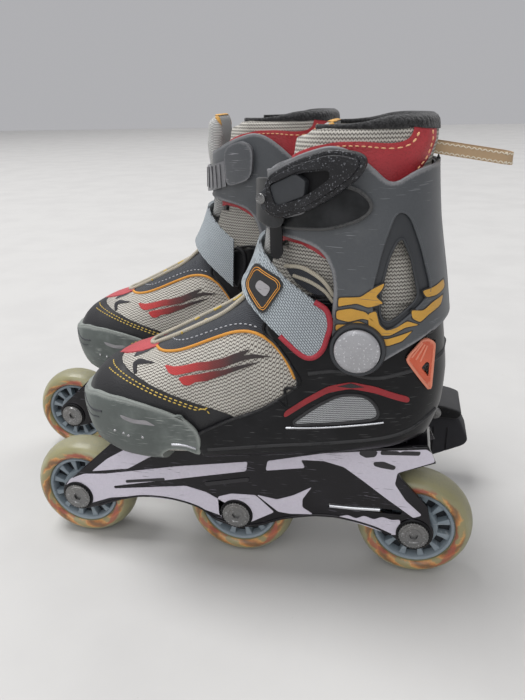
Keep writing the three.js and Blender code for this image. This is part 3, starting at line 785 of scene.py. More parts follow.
def turned(profile: Sequence[Pair], centre: Pair, segments: int, closed: bool = True) -> Shape:
    """A solid of revolution about an axis along +Y.

    Args:
        profile: its section, as points of radius and y.
        centre: x and z of the axis.
        segments: facets round it.
        closed: whether the section's last point joins its first.

    Returns:
        The solid.
    """
    made = bmesh.new()
    spots = [made.verts.new((r, y, 0)) for r, y in profile]
    pairs = zip(spots, [*spots[1:], spots[0]] if closed else spots[1:])
    edges = [made.edges.new(pair) for pair in pairs]
    bmesh.ops.spin(made, geom=[*spots, *edges], cent=(0, 0, 0), axis=(0, 1, 0), angle=2 * math.pi,
                   steps=segments,
                   use_merge=True)
    bmesh.ops.remove_doubles(made, verts=made.verts, dist=WELD)
    bmesh.ops.recalc_face_normals(made, faces=made.faces)
    bmesh.ops.translate(made, verts=made.verts, vec=(centre[0], 0, centre[1]))
    return made


def block(low: Triple, high: Triple, bevel: float = 0.0) -> Shape:
    """A box between two corners.

    Args:
        low: lowest corner.
        high: highest corner.
        bevel: rounding of its edges.

    Returns:
        The box.
    """
    made = bmesh.new()
    size = Vector(high) - Vector(low)
    place = Matrix.Translation((Vector(low) + Vector(high)) / 2) @ Matrix.Diagonal((*size, 1))
    bmesh.ops.create_cube(made, size=1, matrix=place)
    if bevel:
        bmesh.ops.bevel(made, geom=list(made.edges), offset=bevel, affect="EDGES", segments=3, profile=0.5,
                        material=-1)
    return made


def to_object(shape: Shape, name: str = "scratch") -> bpy.types.Object:
    """Turns a shape into an object in the scene.

    Args:
        shape: the shape, which is freed.
        name: the object's name.

    Returns:
        The object.
    """
    mesh = bpy.data.meshes.new(name)
    shape.to_mesh(mesh)
    shape.free()
    made = bpy.data.objects.new(name, mesh)
    bpy.context.scene.collection.objects.link(made)
    return made


def from_object(made: bpy.types.Object) -> Shape:
    """An object's mesh with its modifiers applied.

    Args:
        made: the object.

    Returns:
        The shape.
    """
    shape = bmesh.new()
    solved = made.evaluated_get(bpy.context.evaluated_depsgraph_get())
    shape.from_mesh(solved.to_mesh())
    solved.to_mesh_clear()
    return shape


def discard(*objects: bpy.types.Object) -> None:
    """Removes scratch objects and their data."""
    for made in objects:
        data = made.data
        bpy.data.objects.remove(made)
        (bpy.data.meshes if isinstance(data, bpy.types.Mesh) else bpy.data.curves).remove(data)


class Cut(Enum):
    """How a tool changes a solid."""

    KEEP = "INTERSECT"
    AWAY = "DIFFERENCE"


def combine(base: Shape, *steps: tuple[Cut, Shape]) -> Shape:
    """Cuts a solid with others.

    Args:
        base: the solid to start from.
        steps: what is done, and the tool it is done with.

    Returns:
        The result.
    """
    body = to_object(base)
    tools = [to_object(tool) for _, tool in steps]
    for (how, _), tool in zip(steps, tools):
        cut = body.modifiers.new("cut", "BOOLEAN")
        cut.solver = "MANIFOLD"
        cut.operation = how.value
        cut.object = tool
    made = from_object(body)
    discard(body, *tools)
    return made


def joined(*shapes: Shape) -> Shape:
    """Puts shapes that stay apart into one.

    Args:
        shapes: the shapes, which are freed.

    Returns:
        All of them.
    """
    made = bmesh.new()
    for shape in shapes:
        mesh = bpy.data.meshes.new("scratch")
        shape.to_mesh(mesh)
        shape.free()
        made.from_mesh(mesh)
        bpy.data.meshes.remove(mesh)
    return made


def on_both_sides(shape: Shape) -> Shape:
    """Adds a shape's mirror image in y.

    Args:
        shape: the shape, which is kept.

    Returns:
        The pair.
    """
    copied = bmesh.ops.duplicate(shape, geom=[*shape.verts, *shape.edges, *shape.faces])["geom"]
    spots = [e for e in copied if isinstance(e, bmesh.types.BMVert)]
    bmesh.ops.scale(shape, verts=spots, vec=(1, -1, 1))
    bmesh.ops.reverse_faces(shape, faces=[e for e in copied if isinstance(e, bmesh.types.BMFace)])
    return shape


def mirrored(shape: Shape) -> Shape:
    """Moves a shape to the other side, in y."""
    bmesh.ops.scale(shape, verts=shape.verts, vec=(1, -1, 1))
    bmesh.ops.reverse_faces(shape, faces=shape.faces)
    return shape


def tube(path: Sequence[Sequence[float]], radius: float) -> Shape:
    """A round rod along a path.

    Args:
        path: its points.
        radius: its radius.

    Returns:
        The rod.
    """
    curve = bpy.data.curves.new("scratch", "CURVE")
    curve.dimensions = "3D"
    curve.bevel_depth = radius
    curve.bevel_resolution = 3
    curve.use_fill_caps = True
    spline = curve.splines.new("POLY")
    spline.points.add(len(path) - 1)
    for spot, point in zip(spline.points, path):
        spot.co = (*point, 1)
    holder = bpy.data.objects.new("scratch", curve)
    bpy.context.scene.collection.objects.link(holder)
    made = from_object(holder)
    discard(holder)
    bmesh.ops.remove_doubles(made, verts=made.verts, dist=WELD)
    bmesh.ops.recalc_face_normals(made, faces=made.faces)
    return made


def beads(path: np.ndarray, size: Triple, slant: float = 0.0) -> Shape:
    """Stitches or the turns of a twisted cord: one small ellipsoid between each two points of a path.

    Args:
        path: evenly spaced points.
        size: half lengths along the path, across it and up from it.
        slant: turn of each bead away from the path, in radians.

    Returns:
        The beads.
    """
    made = bmesh.new()
    for a, b in zip(path[:-1], path[1:]):
        way = Vector(b - a).normalized()
        side = way.cross(Vector((0, 1, 0)))
        side = side.normalized() if side.length > 0.1 else Vector((0, 0, 1))
        up = side.cross(way)
        turn = Matrix((way, side, up)).transposed().to_4x4() @ Matrix.Rotation(slant, 4, "Z")
        place = Matrix.Translation(Vector((a + b) / 2)) @ turn @ Matrix.Diagonal((*size, 1))
        bmesh.ops.create_uvsphere(made, u_segments=6, v_segments=4, radius=1, matrix=place)
    return made


def dashes(path: Sequence[Sequence[float]], pitch: float, length: float, radius: float) -> Shape:
    """A row of sewn stitches."""
    return beads(along(path, pitch), (length / 2, radius, radius))


# ---- The boot's form ---------------------------------------------------------------------------------------


class Lay(Enum):
    """How a fabric's rows run."""

    WRAP = "over the foot"
    RING = "round the leg"


@dataclass(frozen=True)
class Form:
    """The boot's inner form: rings that fan from the toe to the leg. Layers are the form grown outwards."""

    # Each ring: x and z of its upper point and of its lower one, half width, squareness below, push forwards.
    rings: tuple[tuple[float, ...], ...] = (
        (94, 119, 92, 110, 7, 2.4, 0.9),
        (91.5, 126, 86.5, 95.5, 22, 2.6, 0.7),
        (84, 134, 77.5, 90, 33, 3.2, 0.4),
        (70, 141.5, 62, 87.5, 40.5, 4, 0),
        (48, 149, 44, 87, 43.5, 4.2, 0),
        (25, 161, 20, 88, 43, 4.2, 0),
        (4, 172.5, -6, 90, 41, 4.2, 0),
        (-11, 184, -34, 92.5, 39, 4.2, 0),
        (-19, 197, -66, 96, 37.5, 4, 0),
        (-24, 209, -97, 100, 36, 3.2, 0),
        (-26, 218, -113.5, 108, 35, 2.7, 0),
        (-27, 226, -120, 126, 35, 2.4, 0),
        (-28, 234, -121, 147, 35.5, 2.3, 0),
        (-29, 242, -118, 170, 37, 2.3, 0),
        (-30, 250, -113, 200, 38.5, 2.3, 0),
        (-32, 259, -107, 230, 39, 2.3, 0),
        (-35, 268, -104, 254, 38.5, 2.3, 0),
        (-37, 277.5, -102.5, 278, 38, 2.3, 0),
    )
    upper_square: float = 2.4
    widest: float = 0.55
    around: int = 72
    between: int = 5

    def _fields(self, t: np.ndarray) -> np.ndarray:
        """Ring values between the given rings.

        Args:
            t: positions, in rings.

        Returns:
            The seven values at each.
        """
        table = np.array(self.rings, float)
        table = np.vstack([2 * table[0] - table[1], table, 2 * table[-1] - table[-2]])
        i = np.clip(np.floor(t), 0, len(self.rings) - 2).astype(int)
        f = (t - i)[..., None]
        a, b, c, d = (table[i + k] for k in range(4))
        curve = curve_through(a, b, c, d, f)
        straight = b + (c - b) * f
        return curve * 0.6 + straight * 0.4

    def surface(self, t: np.ndarray, turn: np.ndarray, offset: float, rise: float = 0.0) -> np.ndarray:
        """Points on the form grown by offset.

        Args:
            t: positions along it, in rings.
            turn: angles round it, 0 at the top.
            offset: how far it is grown.
            rise: how far its open top is carried up, over one ring more.

        Returns:
            The points.
        """
        last = len(self.rings) - 1.0
        v = self._fields(np.minimum(t, last))
        top, low = v[..., 0:2], v[..., 2:4]
        down = low - top
        down = down / np.linalg.norm(down, axis=-1, keepdims=True)
        top, low = top - down * offset, low + down * offset
        c, s = np.cos(turn), np.sin(turn)
        square = np.where(c > 0, self.upper_square, v[..., 5])
        share = np.abs(c) ** (2 / square)
        lift = np.where(c > 0, self.widest * (1 - share), self.widest + (1 - self.widest) * share)
        y = (v[..., 4] + offset) * np.abs(s) ** (2 / square) * np.sign(s)
        spot = top + (low - top) * lift[..., None]
        z = spot[..., 1] + np.maximum(t - last, 0) * rise
        return np.stack([spot[..., 0] + v[..., 6] * offset, y, z], -1)

    def solid(self, offset: float, rise: float = 0.0) -> Shape:
        """The form as a closed solid.

        Args:
            offset: how far it is grown.
            rise: how far its top is carried up.

        Returns:
            The solid.
        """
        made = bmesh.new()
        span = len(self.rings) - 1 + (1 if rise else 0)
        bmesh.ops.create_grid(made, x_segments=span * self.between, y_segments=self.around, size=1)
        flat = np.array([v.co for v in made.verts])
        spots = self.surface((flat[:, 0] + 1) / 2 * span, (flat[:, 1] + 1) * math.pi, offset, rise)
        for vert, spot in zip(made.verts, spots):
            vert.co = spot
        bmesh.ops.remove_doubles(made, verts=made.verts, dist=1e-3)
        bmesh.ops.holes_fill(made, edges=[e for e in made.edges if e.is_boundary], sides=0)
        bmesh.ops.recalc_face_normals(made, faces=made.faces)
        return made

    def layer(self, inner: float, outer: float, outlines: Sequence[Outline], near: float = -FAR,
              far: float = FAR,
              rise: float = 0.0) -> Shape:
        """The wall between two offsets that lies inside side-view outlines."""
        tool = prism(outlines, near, far)
        return combine(self.solid(outer, rise), (Cut.KEEP, tool), (Cut.AWAY, self.solid(inner, rise + 20)))

    def lift(self, points: Outline, offset: float) -> np.ndarray:
        """Side-view points carried onto the form's outer side.

        Args:
            points: x and z of each.
            offset: how far the form is grown.

        Returns:
            The points in space.
        """
        wanted = np.array(points, float)
        t, turn = np.meshgrid(np.linspace(0, len(self.rings) - 1, 140), np.linspace(0.02, math.pi - 0.02, 80))
        grid = self.surface(t, turn, offset)[..., [0, 2]].reshape(-1, 2)
        nearest = np.array([np.argmin(((grid - w) ** 2).sum(1)) for w in wanted])
        t, turn = t.ravel()[nearest], turn.ravel()[nearest]
        for _ in range(4):
            here = self.surface(t, turn, offset)[..., [0, 2]]
            by_t = (self.surface(t + 1e-3, turn, offset)[..., [0, 2]] - here) / 1e-3
            by_turn = (self.surface(t, turn + 1e-3, offset)[..., [0, 2]] - here) / 1e-3
            det = by_t[:, 0] * by_turn[:, 1] - by_t[:, 1] * by_turn[:, 0]
            det = np.where(np.abs(det) < 1.0, np.copysign(1.0, det), det)
            gap = wanted - here
            t = t + np.clip((gap[:, 0] * by_turn[:, 1] - gap[:, 1] * by_turn[:, 0]) / det, -0.3, 0.3)
            turn = turn + np.clip((by_t[:, 0] * gap[:, 1] - by_t[:, 1] * gap[:, 0]) / det, -0.2, 0.2)
            t, turn = np.clip(t, 0, len(self.rings) - 1.001), np.clip(turn, 0.01, math.pi - 0.01)
        return self.surface(t, turn, offset)

    def trace(self, points: Outline, offset: float, step: float = 2.0) -> np.ndarray:
        """An even path over the form through side-view points."""
        return along(self.lift([tuple(p) for p in along(points, 3.0)], offset), step)

    def weave(self, spots: np.ndarray, lay: Lay) -> np.ndarray:
        """Where each point lies along and across a fabric's rows.

        Args:
            spots: points in space.
            lay: how the rows run.

        Returns:
            The two distances and a zero, for each point.
        """
        if lay is Lay.RING:
            run = 44.0 * np.arctan2(np.abs(spots[:, 1]), spots[:, 0] + 74.0)
            return np.stack([run, spots[:, 2], np.zeros(len(spots))], 1)
        t, turn = np.meshgrid(np.linspace(0, len(self.rings) - 1, 120), np.linspace(0, math.pi, 60),
                              indexing="ij")
        grid = self.surface(t, turn, 0.0)
        run = np.linalg.norm(np.diff(grid, axis=1), axis=2)
        run = np.concatenate([np.zeros((len(run), 1)), np.cumsum(run, 1)], 1)
        way = np.gradient(grid, axis=1)
        way /= np.maximum(np.linalg.norm(way, axis=2, keepdims=True), 1e-9)
        flat, runs, ways = grid.reshape(-1, 3), run.ravel(), way.reshape(-1, 3)
        tree = KDTree(len(flat))
        for i, spot in enumerate(flat):
            tree.insert(spot, i)
        tree.balance()
        mirror = spots * np.array([1, 0, 1]) + np.abs(spots) * np.array([0, 1, 0])
        found = np.array([tree.find(spot)[1] for spot in mirror])
        across = runs[found] + ((mirror - flat[found]) * ways[found]).sum(1)
        return np.stack([spots[:, 0], across, np.zeros(len(spots))], 1)


FORM = Form()


# ---- Fitting pieces to the skates --------------------------------------------------------------------------


class Side(Enum):
    """The two skates."""

    LEFT = "left"
    RIGHT = "right"

    @property
    def hand(self) -> float:
        """1 where the skate's own +Y is the row's +Y, and -1 where it is mirrored."""
        return 1.0 if self is Side.LEFT else -1.0

    @property
    def origin(self) -> Vector:
        """The ground under the skate's middle wheel, in the row frame."""
        low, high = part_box(f"{self.value}_tyre_middle")
        return Vector(((low.x + high.x) / 2, (low.y + high.y) / 2, 0.0))

    def spot(self, point: Triple) -> Vector:
        """A point of the skate's own in the row frame."""
        return self.origin + Vector((point[0], point[1] * self.hand, point[2])) * MM


BOTH = (Side.LEFT, Side.RIGHT)


def to_outline(spots: np.ndarray, outline: Outline) -> np.ndarray:
    """Side-view distance of points from an outline.

    Args:
        spots: points in space.
        outline: a closed outline.

    Returns:
        The distances.
    """
    flat = spots[:, [0, 2]]
    best = np.full(len(flat), 1e9)
    points = np.array(outline, float)
    for a, b in zip(points, np.roll(points, -1, 0)):
        way = b - a
        t = np.clip(((flat - a) @ way) / max(way @ way, 1e-9), 0, 1)
        best = np.minimum(best, np.linalg.norm(flat - (a + t[:, None] * way), axis=1))
    return best


@dataclass
class Fitting:
    """How a finished shape is fitted to the skates."""

    name: str
    shape: Shape
    body: str
    finish: Finish
    replaces: tuple[str, ...] = ()
    sides: tuple[Side, ...] = BOTH
    lay: Lay | None = None
    edge: Outline | None = None  # outline that wear is measured from
    centre: Triple = (0.0, 0.0, 0.0)  # where the finish is measured from
    sharp: float = 38.0  # an edge steeper than this stays sharp, degrees
    stretches: tuple[str, Triple,
                     Triple] | None = None  # the other body, and two points where a change between the bodies would begin and end; no change is made, and the piece is baked in place on no body
    fill: float | None = None  # how full a padded piece is

    def fit(self) -> None:
        bmesh.ops.triangulate(self.shape, faces=[f for f in self.shape.faces if len(f.verts) > 4])
        for side in self.sides:
            self._place(side)
        self.shape.free()

    def _place(self, side: Side) -> None:
        """Places the shape on one skate.

        Args:
            side: which skate.
        """
        mesh = bpy.data.meshes.new(f"{side.value}_{self.name}")
        self.shape.to_mesh(mesh)
        spots = np.empty(len(mesh.vertices) * 3, np.float32)
        mesh.vertices.foreach_get("co", spots)
        spots = spots.reshape(-1, 3)
        self._store(mesh, "skate", (spots - np.array(self.centre)) * MM)
        if self.lay:
            self._store(mesh, "weave", FORM.weave(spots, self.lay) * MM)
        if self.edge:
            rim = to_outline(spots, self.edge) * MM
            self._store(mesh, "rim", np.stack([rim, rim * 0, rim * 0], 1))
        placed = np.array(side.origin) + spots * np.array([1, side.hand, 1]) * MM
        mesh.vertices.foreach_set("co", placed.astype(np.float32).ravel())
        if side is Side.RIGHT:
            mesh.flip_normals()
        mesh.polygons.foreach_set("use_smooth", np.ones(len(mesh.polygons), bool))
        mesh.set_sharp_from_angle(angle=math.radians(self.sharp))
        mesh.materials.append(self.finish.material())
        mesh.update()
        piece = bpy.data.objects.new(mesh.name, mesh)
        bpy.context.scene.collection.objects.link(piece)
        body = f"{side.value}_{self.body}"
        if self.stretches:
            other, start, end = self.stretches
            side.spot(start)
            side.spot(end)
            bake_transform(piece)
        else:
            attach(piece, body)
        if self.replaces:
            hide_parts(*(f"{side.value}_{node}" for node in self.replaces))
        LOG.info("%s: %d faces on %s", piece.name, len(mesh.polygons), body)

    @staticmethod
    def _store(mesh: bpy.types.Mesh, name: str, values: np.ndarray) -> None:
        """Stores a vector on each point of a mesh."""
        stored = mesh.attributes.new(name, "FLOAT_VECTOR", "POINT")
        stored.data.foreach_set("vector", values.astype(np.float32).ravel())


def swollen(shape: Shape, voxel: float, limit: float, pressure: float = 4.0) -> Shape:
    """Fills a shape with air as cloth, as its padding does.

    Args:
        shape: the pad, a little smaller than it should end.
        voxel: size of the cloth's cells, in millimetres.
        limit: how far a point may move.
        pressure: the air's pressure.

    Returns:
        The pad, smoother.
    """
    bmesh.ops.scale(shape, verts=shape.verts, vec=(MM, MM, MM))
    raw = to_object(shape)
    remesh = raw.modifiers.new("cells", "REMESH")
    remesh.mode = "VOXEL"
    remesh.voxel_size = voxel * MM
    pad = to_object(from_object(raw))
    discard(raw)
    before = np.array([v.co for v in pad.data.vertices])
    cloth = pad.modifiers.new("cloth", "CLOTH")
    cloth.settings.use_pressure = True
    cloth.settings.uniform_pressure_force = pressure
    cloth.settings.quality = 5
    cloth.settings.effector_weights.gravity = 0.0
    for number in range(1, 21):
        bpy.context.scene.frame_set(number)
    solved = pad.evaluated_get(bpy.context.evaluated_depsgraph_get())
    after = np.array([v.co for v in solved.data.vertices])
    pad.modifiers.clear()
    bpy.context.scene.frame_set(1)
    move = after - before
    length = np.linalg.norm(move, axis=1, keepdims=True)
    move *= np.minimum(1.0, limit * MM / np.maximum(length, 1e-9))
    pad.data.vertices.foreach_set("co", (before + move).astype(np.float32).ravel())
    finer = pad.modifiers.new("finer", "SUBSURF")
    finer.levels = finer.render_levels = 1
    made = from_object(pad)
    discard(pad)
    bmesh.ops.scale(made, verts=made.verts, vec=(1 / MM,) * 3)
    return made


def skinned(shape: Shape, distance: float) -> Shape:
    """A copy of a shape moved outwards along its normals.

    Args:
        shape: the shape, which is kept.
        distance: how far.

    Returns:
        The copy.
    """
    made = shape.copy()
    made.normal_update()
    for vert, normal in zip(list(made.verts), [v.normal.copy() for v in made.verts]):
        vert.co += normal * distance
    return made


# ---- Sub-assemblies ----------------------------------------------------------------------------------------

SHELL_OUT = 3.0  # how far each layer's face stands off the form, in millimetres
CAP_OUT = 3.6
CUFF_IN = 5.0
CUFF_OUT = 7.8
CAVITY = -8.5
PIVOT: Pair = (-76, 167)  # x and z of the cuff's rivets


@dataclass
class Shell:
    """The moulded boot shell with its side window, stripe and size button."""

    edge: Outline = (
        (12, 60), (12, 98), (14, 109), (-5, 119), (-24, 127), (-45, 142), (-41, 154), (-33, 165), (-25, 173),
        (-36, 186), (-60, 192), (-92, 179), (-112, 186), (-140, 187), (-140, 60),
    )
    button: Outline = ((-109.4, 171), (-100.8, 160.5), (-114.6, 139.5), (-114.8, 166.5))
    window: Outline = ((-39.3, 118.4), (-62, 120.6), (-89, 124.6), (-86.5, 133.5), (-79.9, 139),
                       (-67.5, 138.8),
                       (-54, 130.6))
    stripe: Sequence[Pair] = ((-37, 124.6), (-50, 134.4), (-61, 141.4), (-72.9, 144.4), (-86, 142.2),
                              (-104, 135.4))
    chrome: Sequence[Pair] = ((-38, 116.8), (-60, 118.4), (-91, 122.4))
    crest: Sequence[Pair] = ((-50, 150), (-66, 152), (-84, 149), (-100, 152), (-122, 158))
    low_rib: Sequence[Pair] = ((8, 99), (-30, 104), (-66, 108), (-98, 113), (-118, 124))

    def build(self) -> None:
        """Builds and fits the shell's pieces."""
        edge = rounded(self.edge, 5)
        wall = combine(FORM.layer(0.4, SHELL_OUT, [edge]),
                       (Cut.AWAY, prism([grown(self.button, 0.7)], 0, FAR)))
        Fitting("shell_wall", wall, "boot", BLACK_SHELL, ("shell",), edge=edge).fit()
        rim = tube(FORM.trace(self.edge[2:13], SHELL_OUT - 0.3, 2.5), 0.9)
        Fitting("shell_rim", on_both_sides(rim), "boot", BLACK_SHELL, edge=edge).fit()
        ribs = [
            tube(FORM.trace(self.crest, SHELL_OUT - 0.5, 2.5), 1.3),
            tube(FORM.trace(self.low_rib, SHELL_OUT - 0.6, 2.5), 1.4),
        ]
        Fitting("shell_ribs", on_both_sides(joined(*ribs)), "boot", BLACK_SHELL).fit()
        window = rounded(self.window, 6)
        mesh = FORM.layer(SHELL_OUT - 0.5, SHELL_OUT + 0.2, [window])
        Fitting("side_window_mesh", mesh, "boot", SILVER_MESH, lay=Lay.RING).fit()
        frame_path = FORM.trace([*window, window[0]], SHELL_OUT + 0.1, 2.0)
        Fitting("side_window_frame", on_both_sides(tube(frame_path, 0.9)), "boot", BLACK_SHELL).fit()
        chrome = tube(FORM.trace(self.chrome, SHELL_OUT + 0.5, 2.5), 0.65)
        Fitting("side_window_trim", on_both_sides(chrome), "boot", SILVER_TRIM_AND_HIGHLIGHT).fit()
        line = np.array(self.stripe)
        band = [*map(tuple, line + (0, 1.9)), *map(tuple, line[::-1] - (0, 1.9))]
        stripe = FORM.layer(SHELL_OUT - 0.3, SHELL_OUT + 0.35, [rounded(band, 3)])
        Fitting("side_stripe", stripe, "boot", RED_FILM).fit()
        notch = [((-66, 143.4), (-73, 145.6), (-80, 143.6), (-73, 142.8))]
        Fitting("side_stripe_badge", FORM.layer(SHELL_OUT, SHELL_OUT + 0.55, notch), "boot", DARK_FILM).fit()
        self._size_button()

    def _size_button(self) -> None:
        """The triangular button behind the ankle, with its grip lines and its dark hole."""
        outline = rounded(self.button, 2.5)
        centre = np.mean(np.array(self.button), 0)
        hole = [tuple(centre + (np.array(p) - centre) * 0.3 + (-1.6, -5.5)) for p in self.button]
        tools = prism([rounded(hole, 1.2)], 0, FAR)
        body = combine(FORM.layer(2.4, 4.4, [outline], 5.0), (Cut.AWAY, tools))
        Fitting("size_button_face", body, "button", BUTTON_RED, ("size_button",), edge=outline).fit()
        rim = tube(FORM.trace([*outline, outline[0]], 4.3, 1.5), 0.8)
        Fitting("size_button_rim", rim, "boot", BUTTON_RED).fit()
        grips = []
        for share in (0.12, 0.3, 0.48):
            a = np.array(self.button[0]) * (1 - share) + np.array(self.button[3]) * share
            b = np.array(self.button[1]) * (1 - share) + np.array(self.button[2]) * share * 0.55 + np.array(
                self.button[3]) * share * 0.45
            ends = a + (b - a) * 0.2, a + (b - a) * 0.86
            grips.append(tube(FORM.trace([tuple(e) for e in ends], 4.4, 1.5), 0.55))
        Fitting("size_button_grips", joined(*grips), "button", BUTTON_RED).fit()


@dataclass
class ToeBox:
    """The sliding forefoot: textile vamp, toe cap, black band, piping and embroidery."""

    cap: Outline = (
        (36, 60), (125, 60), (125, 121), (95, 121), (85, 124.8), (76.7, 127), (60, 127.4), (45, 125.8),
        (32.2, 122.8), (20.1, 118.2), (13.4, 111.5), (12, 105), (12.6, 99), (12.6, 95), (14.5, 94.5),
        (20, 98.5),
        (30, 98.5), (36, 94),
    )
    vamp: Outline = (
        (130, 60), (130, 200), (60, 170), (34, 162), (13, 163), (-1.5, 169.5), (-13, 172.5), (-23, 171.5),
        (-32, 164.5), (-40, 153.5), (-45, 142.5), (-45, 60),
    )
    seam: Sequence[Pair] = (
        (76, 138.6), (70, 138.8), (62.3, 138), (46.6, 135.2), (32, 131.4), (18, 127.2), (6, 123.6),
        (-3, 120.8),
    )
    piping: Sequence[Pair] = (
        (46, 149.6), (36, 151.4), (26, 154.2), (16.8, 157.8), (8, 161.6), (1.4, 164.4), (-5, 167),
        (-11, 168.6),
        (-17, 169.2), (-22, 168.6), (-27, 166.6), (-31.6, 163.3), (-36, 158.2), (-39.4, 152.6),
        (-42.6, 145.6),
    )
    streaks: Sequence[Outline] = (
        ((34, 146.4), (30, 143.2), (26, 142.8), (21, 144.2), (12.4, 146.6), (5.5, 147.6), (-1.7, 149.4),
         (-9.1, 152.4),
         (-16.1, 155), (-29.2, 157.3), (-19.6, 157.9), (-13.5, 156.6), (-17.5, 160.4), (-8, 157), (-1.6, 154),
         (5.9, 151.8), (14.4, 150.2), (22.1, 147.8), (28, 146.6)),
        ((24, 141.6), (21, 138.4), (17, 138.2), (13.7, 140.4), (6.7, 141.6), (1.7, 143.8), (-9.3, 148),
         (-23.2, 154),
         (-12.6, 151.4), (-2, 148), (5, 146.6), (12.2, 144.6), (20, 143)),
    )

    def build(self) -> None:
        """Builds and fits the forefoot's pieces."""
        vamp = FORM.layer(-2.5, 0, [rounded(self.vamp, 4)])
        Fitting("vamp_knit", vamp, "toe_section", KNIT, ("vamp",), lay=Lay.WRAP, fill=0.3).fit()
        cap_edge = rounded(self.cap, 3)
        cap = FORM.layer(0.4, CAP_OUT, [cap_edge])
        Fitting("toe_cap_wall", cap, "toe_section", CAP_GREY, ("toe_cap",), edge=cap_edge).fit()
        rim = FORM.trace([(94, 121.3), *self.cap[4:12], (13, 100)], CAP_OUT - 0.55, 2.5)
        Fitting("toe_cap_rim", on_both_sides(tube(rim, 0.75)), "toe_section", CAP_GREY, edge=cap_edge).fit()
        self._cap_details()
        self._band()
        self._piping()
        streaks = FORM.layer(-0.4, 0.55, [rounded(s, 0.9, 2) for s in self.streaks])
        Fitting("vamp_streaks", streaks, "toe_section", VAMP_STREAK).fit()
        tick = ((58, 142.4), (54.4, 138.8), (52.6, 139.8), (54.6, 142.4), (42, 145.6), (55, 144))
        Fitting("vamp_tick", FORM.layer(-0.4, 0.5, [tick]), "toe_section", DARK_FILM).fit()
        self._throat()

    def _cap_details(self) -> None:
        """Nose creases drawn dark as painted shade, badge, studs and the bright strip in the arch."""
        # dark lines along the nose creases: painted shade in the folds
        creases = [
            tube(FORM.trace([(91, 120.5), (86, 117.4), (80, 116), (73, 117)], CAP_OUT - 0.3, 2.0), 0.75),
            tube(FORM.trace([(88.5, 113), (83, 111.4), (76, 112.4)], CAP_OUT - 0.35, 2.0), 0.65),
        ]
        Fitting("toe_cap_creases", on_both_sides(joined(*creases)), "toe_section", CUFF_RECESS).fit()
        badge = ((60, 118.2), (50, 116.4), (43, 117), (37, 113.8), (44, 114.2), (52, 114.2), (58, 115.8))
        Fitting("toe_cap_badge", FORM.layer(CAP_OUT - 0.3, CAP_OUT + 0.3, [rounded(badge, 1.5, 2)]),
                "toe_section",
                BADGE_GREY).fit()
        studs = bmesh.new()
        for spot in FORM.lift([(64.5, 106.8), (58.6, 106), (55.4, 105), (46, 105.4)], CAP_OUT):
            bmesh.ops.create_uvsphere(studs, u_segments=10, v_segments=6, radius=0.9,
                                      matrix=Matrix.Translation(spot) @ Matrix.Diagonal((1, 0.5, 1, 1)))
        Fitting("toe_cap_studs", on_both_sides(studs), "toe_section", BEARING).fit()
        strip = tube(FORM.trace([(14.6, 99.8), (21, 102), (28.5, 102)], CAP_OUT - 0.2, 2.0), 0.9)
        Fitting("toe_cap_arch_strip", on_both_sides(strip), "toe_section", SILVER_TRIM_AND_HIGHLIGHT).fit()

    def _band(self) -> None:
        """Black band between the knit and the toe cap, with its twin seam."""
        upper = [(80, 143), *[(x + 0.4, z + 2.0) for x, z in self.seam]]
        outline = [*upper, (-14, 118), (-14, 104), (60, 104), (104, 104), (104, 150)]
        band = FORM.layer(-0.5, 0.75, [outline])
        Fitting("toe_band", band, "toe_section", BLACK_LEATHER, edge=outline).fit()
        rows = []
        for drop in (0.0, 1.9):
            seam = [(x - drop * 0.25, z - drop) for x, z in self.seam[:-1]]
            rows.append(dashes(FORM.trace(seam, 0.85, 2.0), 3.1, 2.3, 0.42))
        Fitting("toe_band_stitches", on_both_sides(joined(*rows)), "toe_section", YELLOW_THREAD).fit()

    def _piping(self) -> None:
        """Twisted orange cord along the knit's upper edge, and the pale seam beyond it."""
        path = FORM.trace(self.piping, 0.5, 1.45)
        cord = joined(beads(path, (1.25, 0.95, 0.95), 0.55), tube(path, 0.8))
        Fitting("vamp_piping", on_both_sides(cord), "toe_section", ORANGE_CORD).fit()
        raised = [(x + 0.6, z + 3.4) for x, z in self.piping[1:10]]
        seam = dashes(FORM.trace(raised, 0.55, 2.0), 3.4, 2.2, 0.4)
        Fitting("gusset_stitches", on_both_sides(seam), "toe_section", PALE_THREAD).fit()

    def _throat(self) -> None:
        """Dark gusset over the instep, its cream edge, and the red leather tip before it."""
        outline = [(52, 146.5), *self.piping, (-47, 148), (-47, 186), (70, 186), (60, 143.5)]
        gusset = FORM.layer(-2.6, 0.35, [outline])
        Fitting("throat_gusset", gusset, "boot", GUSSET, lay=Lay.WRAP, fill=0.2,
                stretches=("toe_section", (-44, 0, 160), (-6, 0, 160))).fit()
        edge = [(50, 7.5), (36, 10.5), (20, 12.5), (2, 13.5), (-14, 13)]
        path = along(self._over(edge, 1.2), 2.0)
        Fitting("throat_edge", on_both_sides(tube(path, 1.35)), "toe_section", CREAM_CLOTH,
                lay=Lay.WRAP).fit()
        front = along(self._over([(50, 7.5), (52.6, 4.4), (53.6, 0)], 1.2), 1.5)
        Fitting("throat_edge_front", on_both_sides(tube(front, 1.35)), "toe_section", CREAM_CLOTH,
                lay=Lay.WRAP).fit()
        loops = []
        for x in (30, 17, 4):
            loops.append(tube([(x, 13.0, self._crown(x, 13) + 1.4), (x - 2, 9, self._crown(x, 9) + 1.8),
                               (x - 5, 12.6, self._crown(x - 5, 12.6) + 1.4)], 0.8))
        Fitting("throat_loops", on_both_sides(joined(*loops)), "toe_section", YELLOW_THREAD).fit()
        plan = self._upright([(76, -3), (68, -9.5), (56, -13.5), (46, -12.5),
                              (46, 12.5), (56, 13.5), (68, 9.5), (76, 3)])
        hole = self._upright([(54, -5), (40, -9), (40, 9), (54, 5)])
        tip = combine(FORM.solid(0.9), (Cut.AWAY, FORM.solid(-0.4)), (Cut.KEEP, plan), (Cut.AWAY, hole))
        Fitting("toe_tip_leather", tip, "toe_section", RED_TIP).fit()

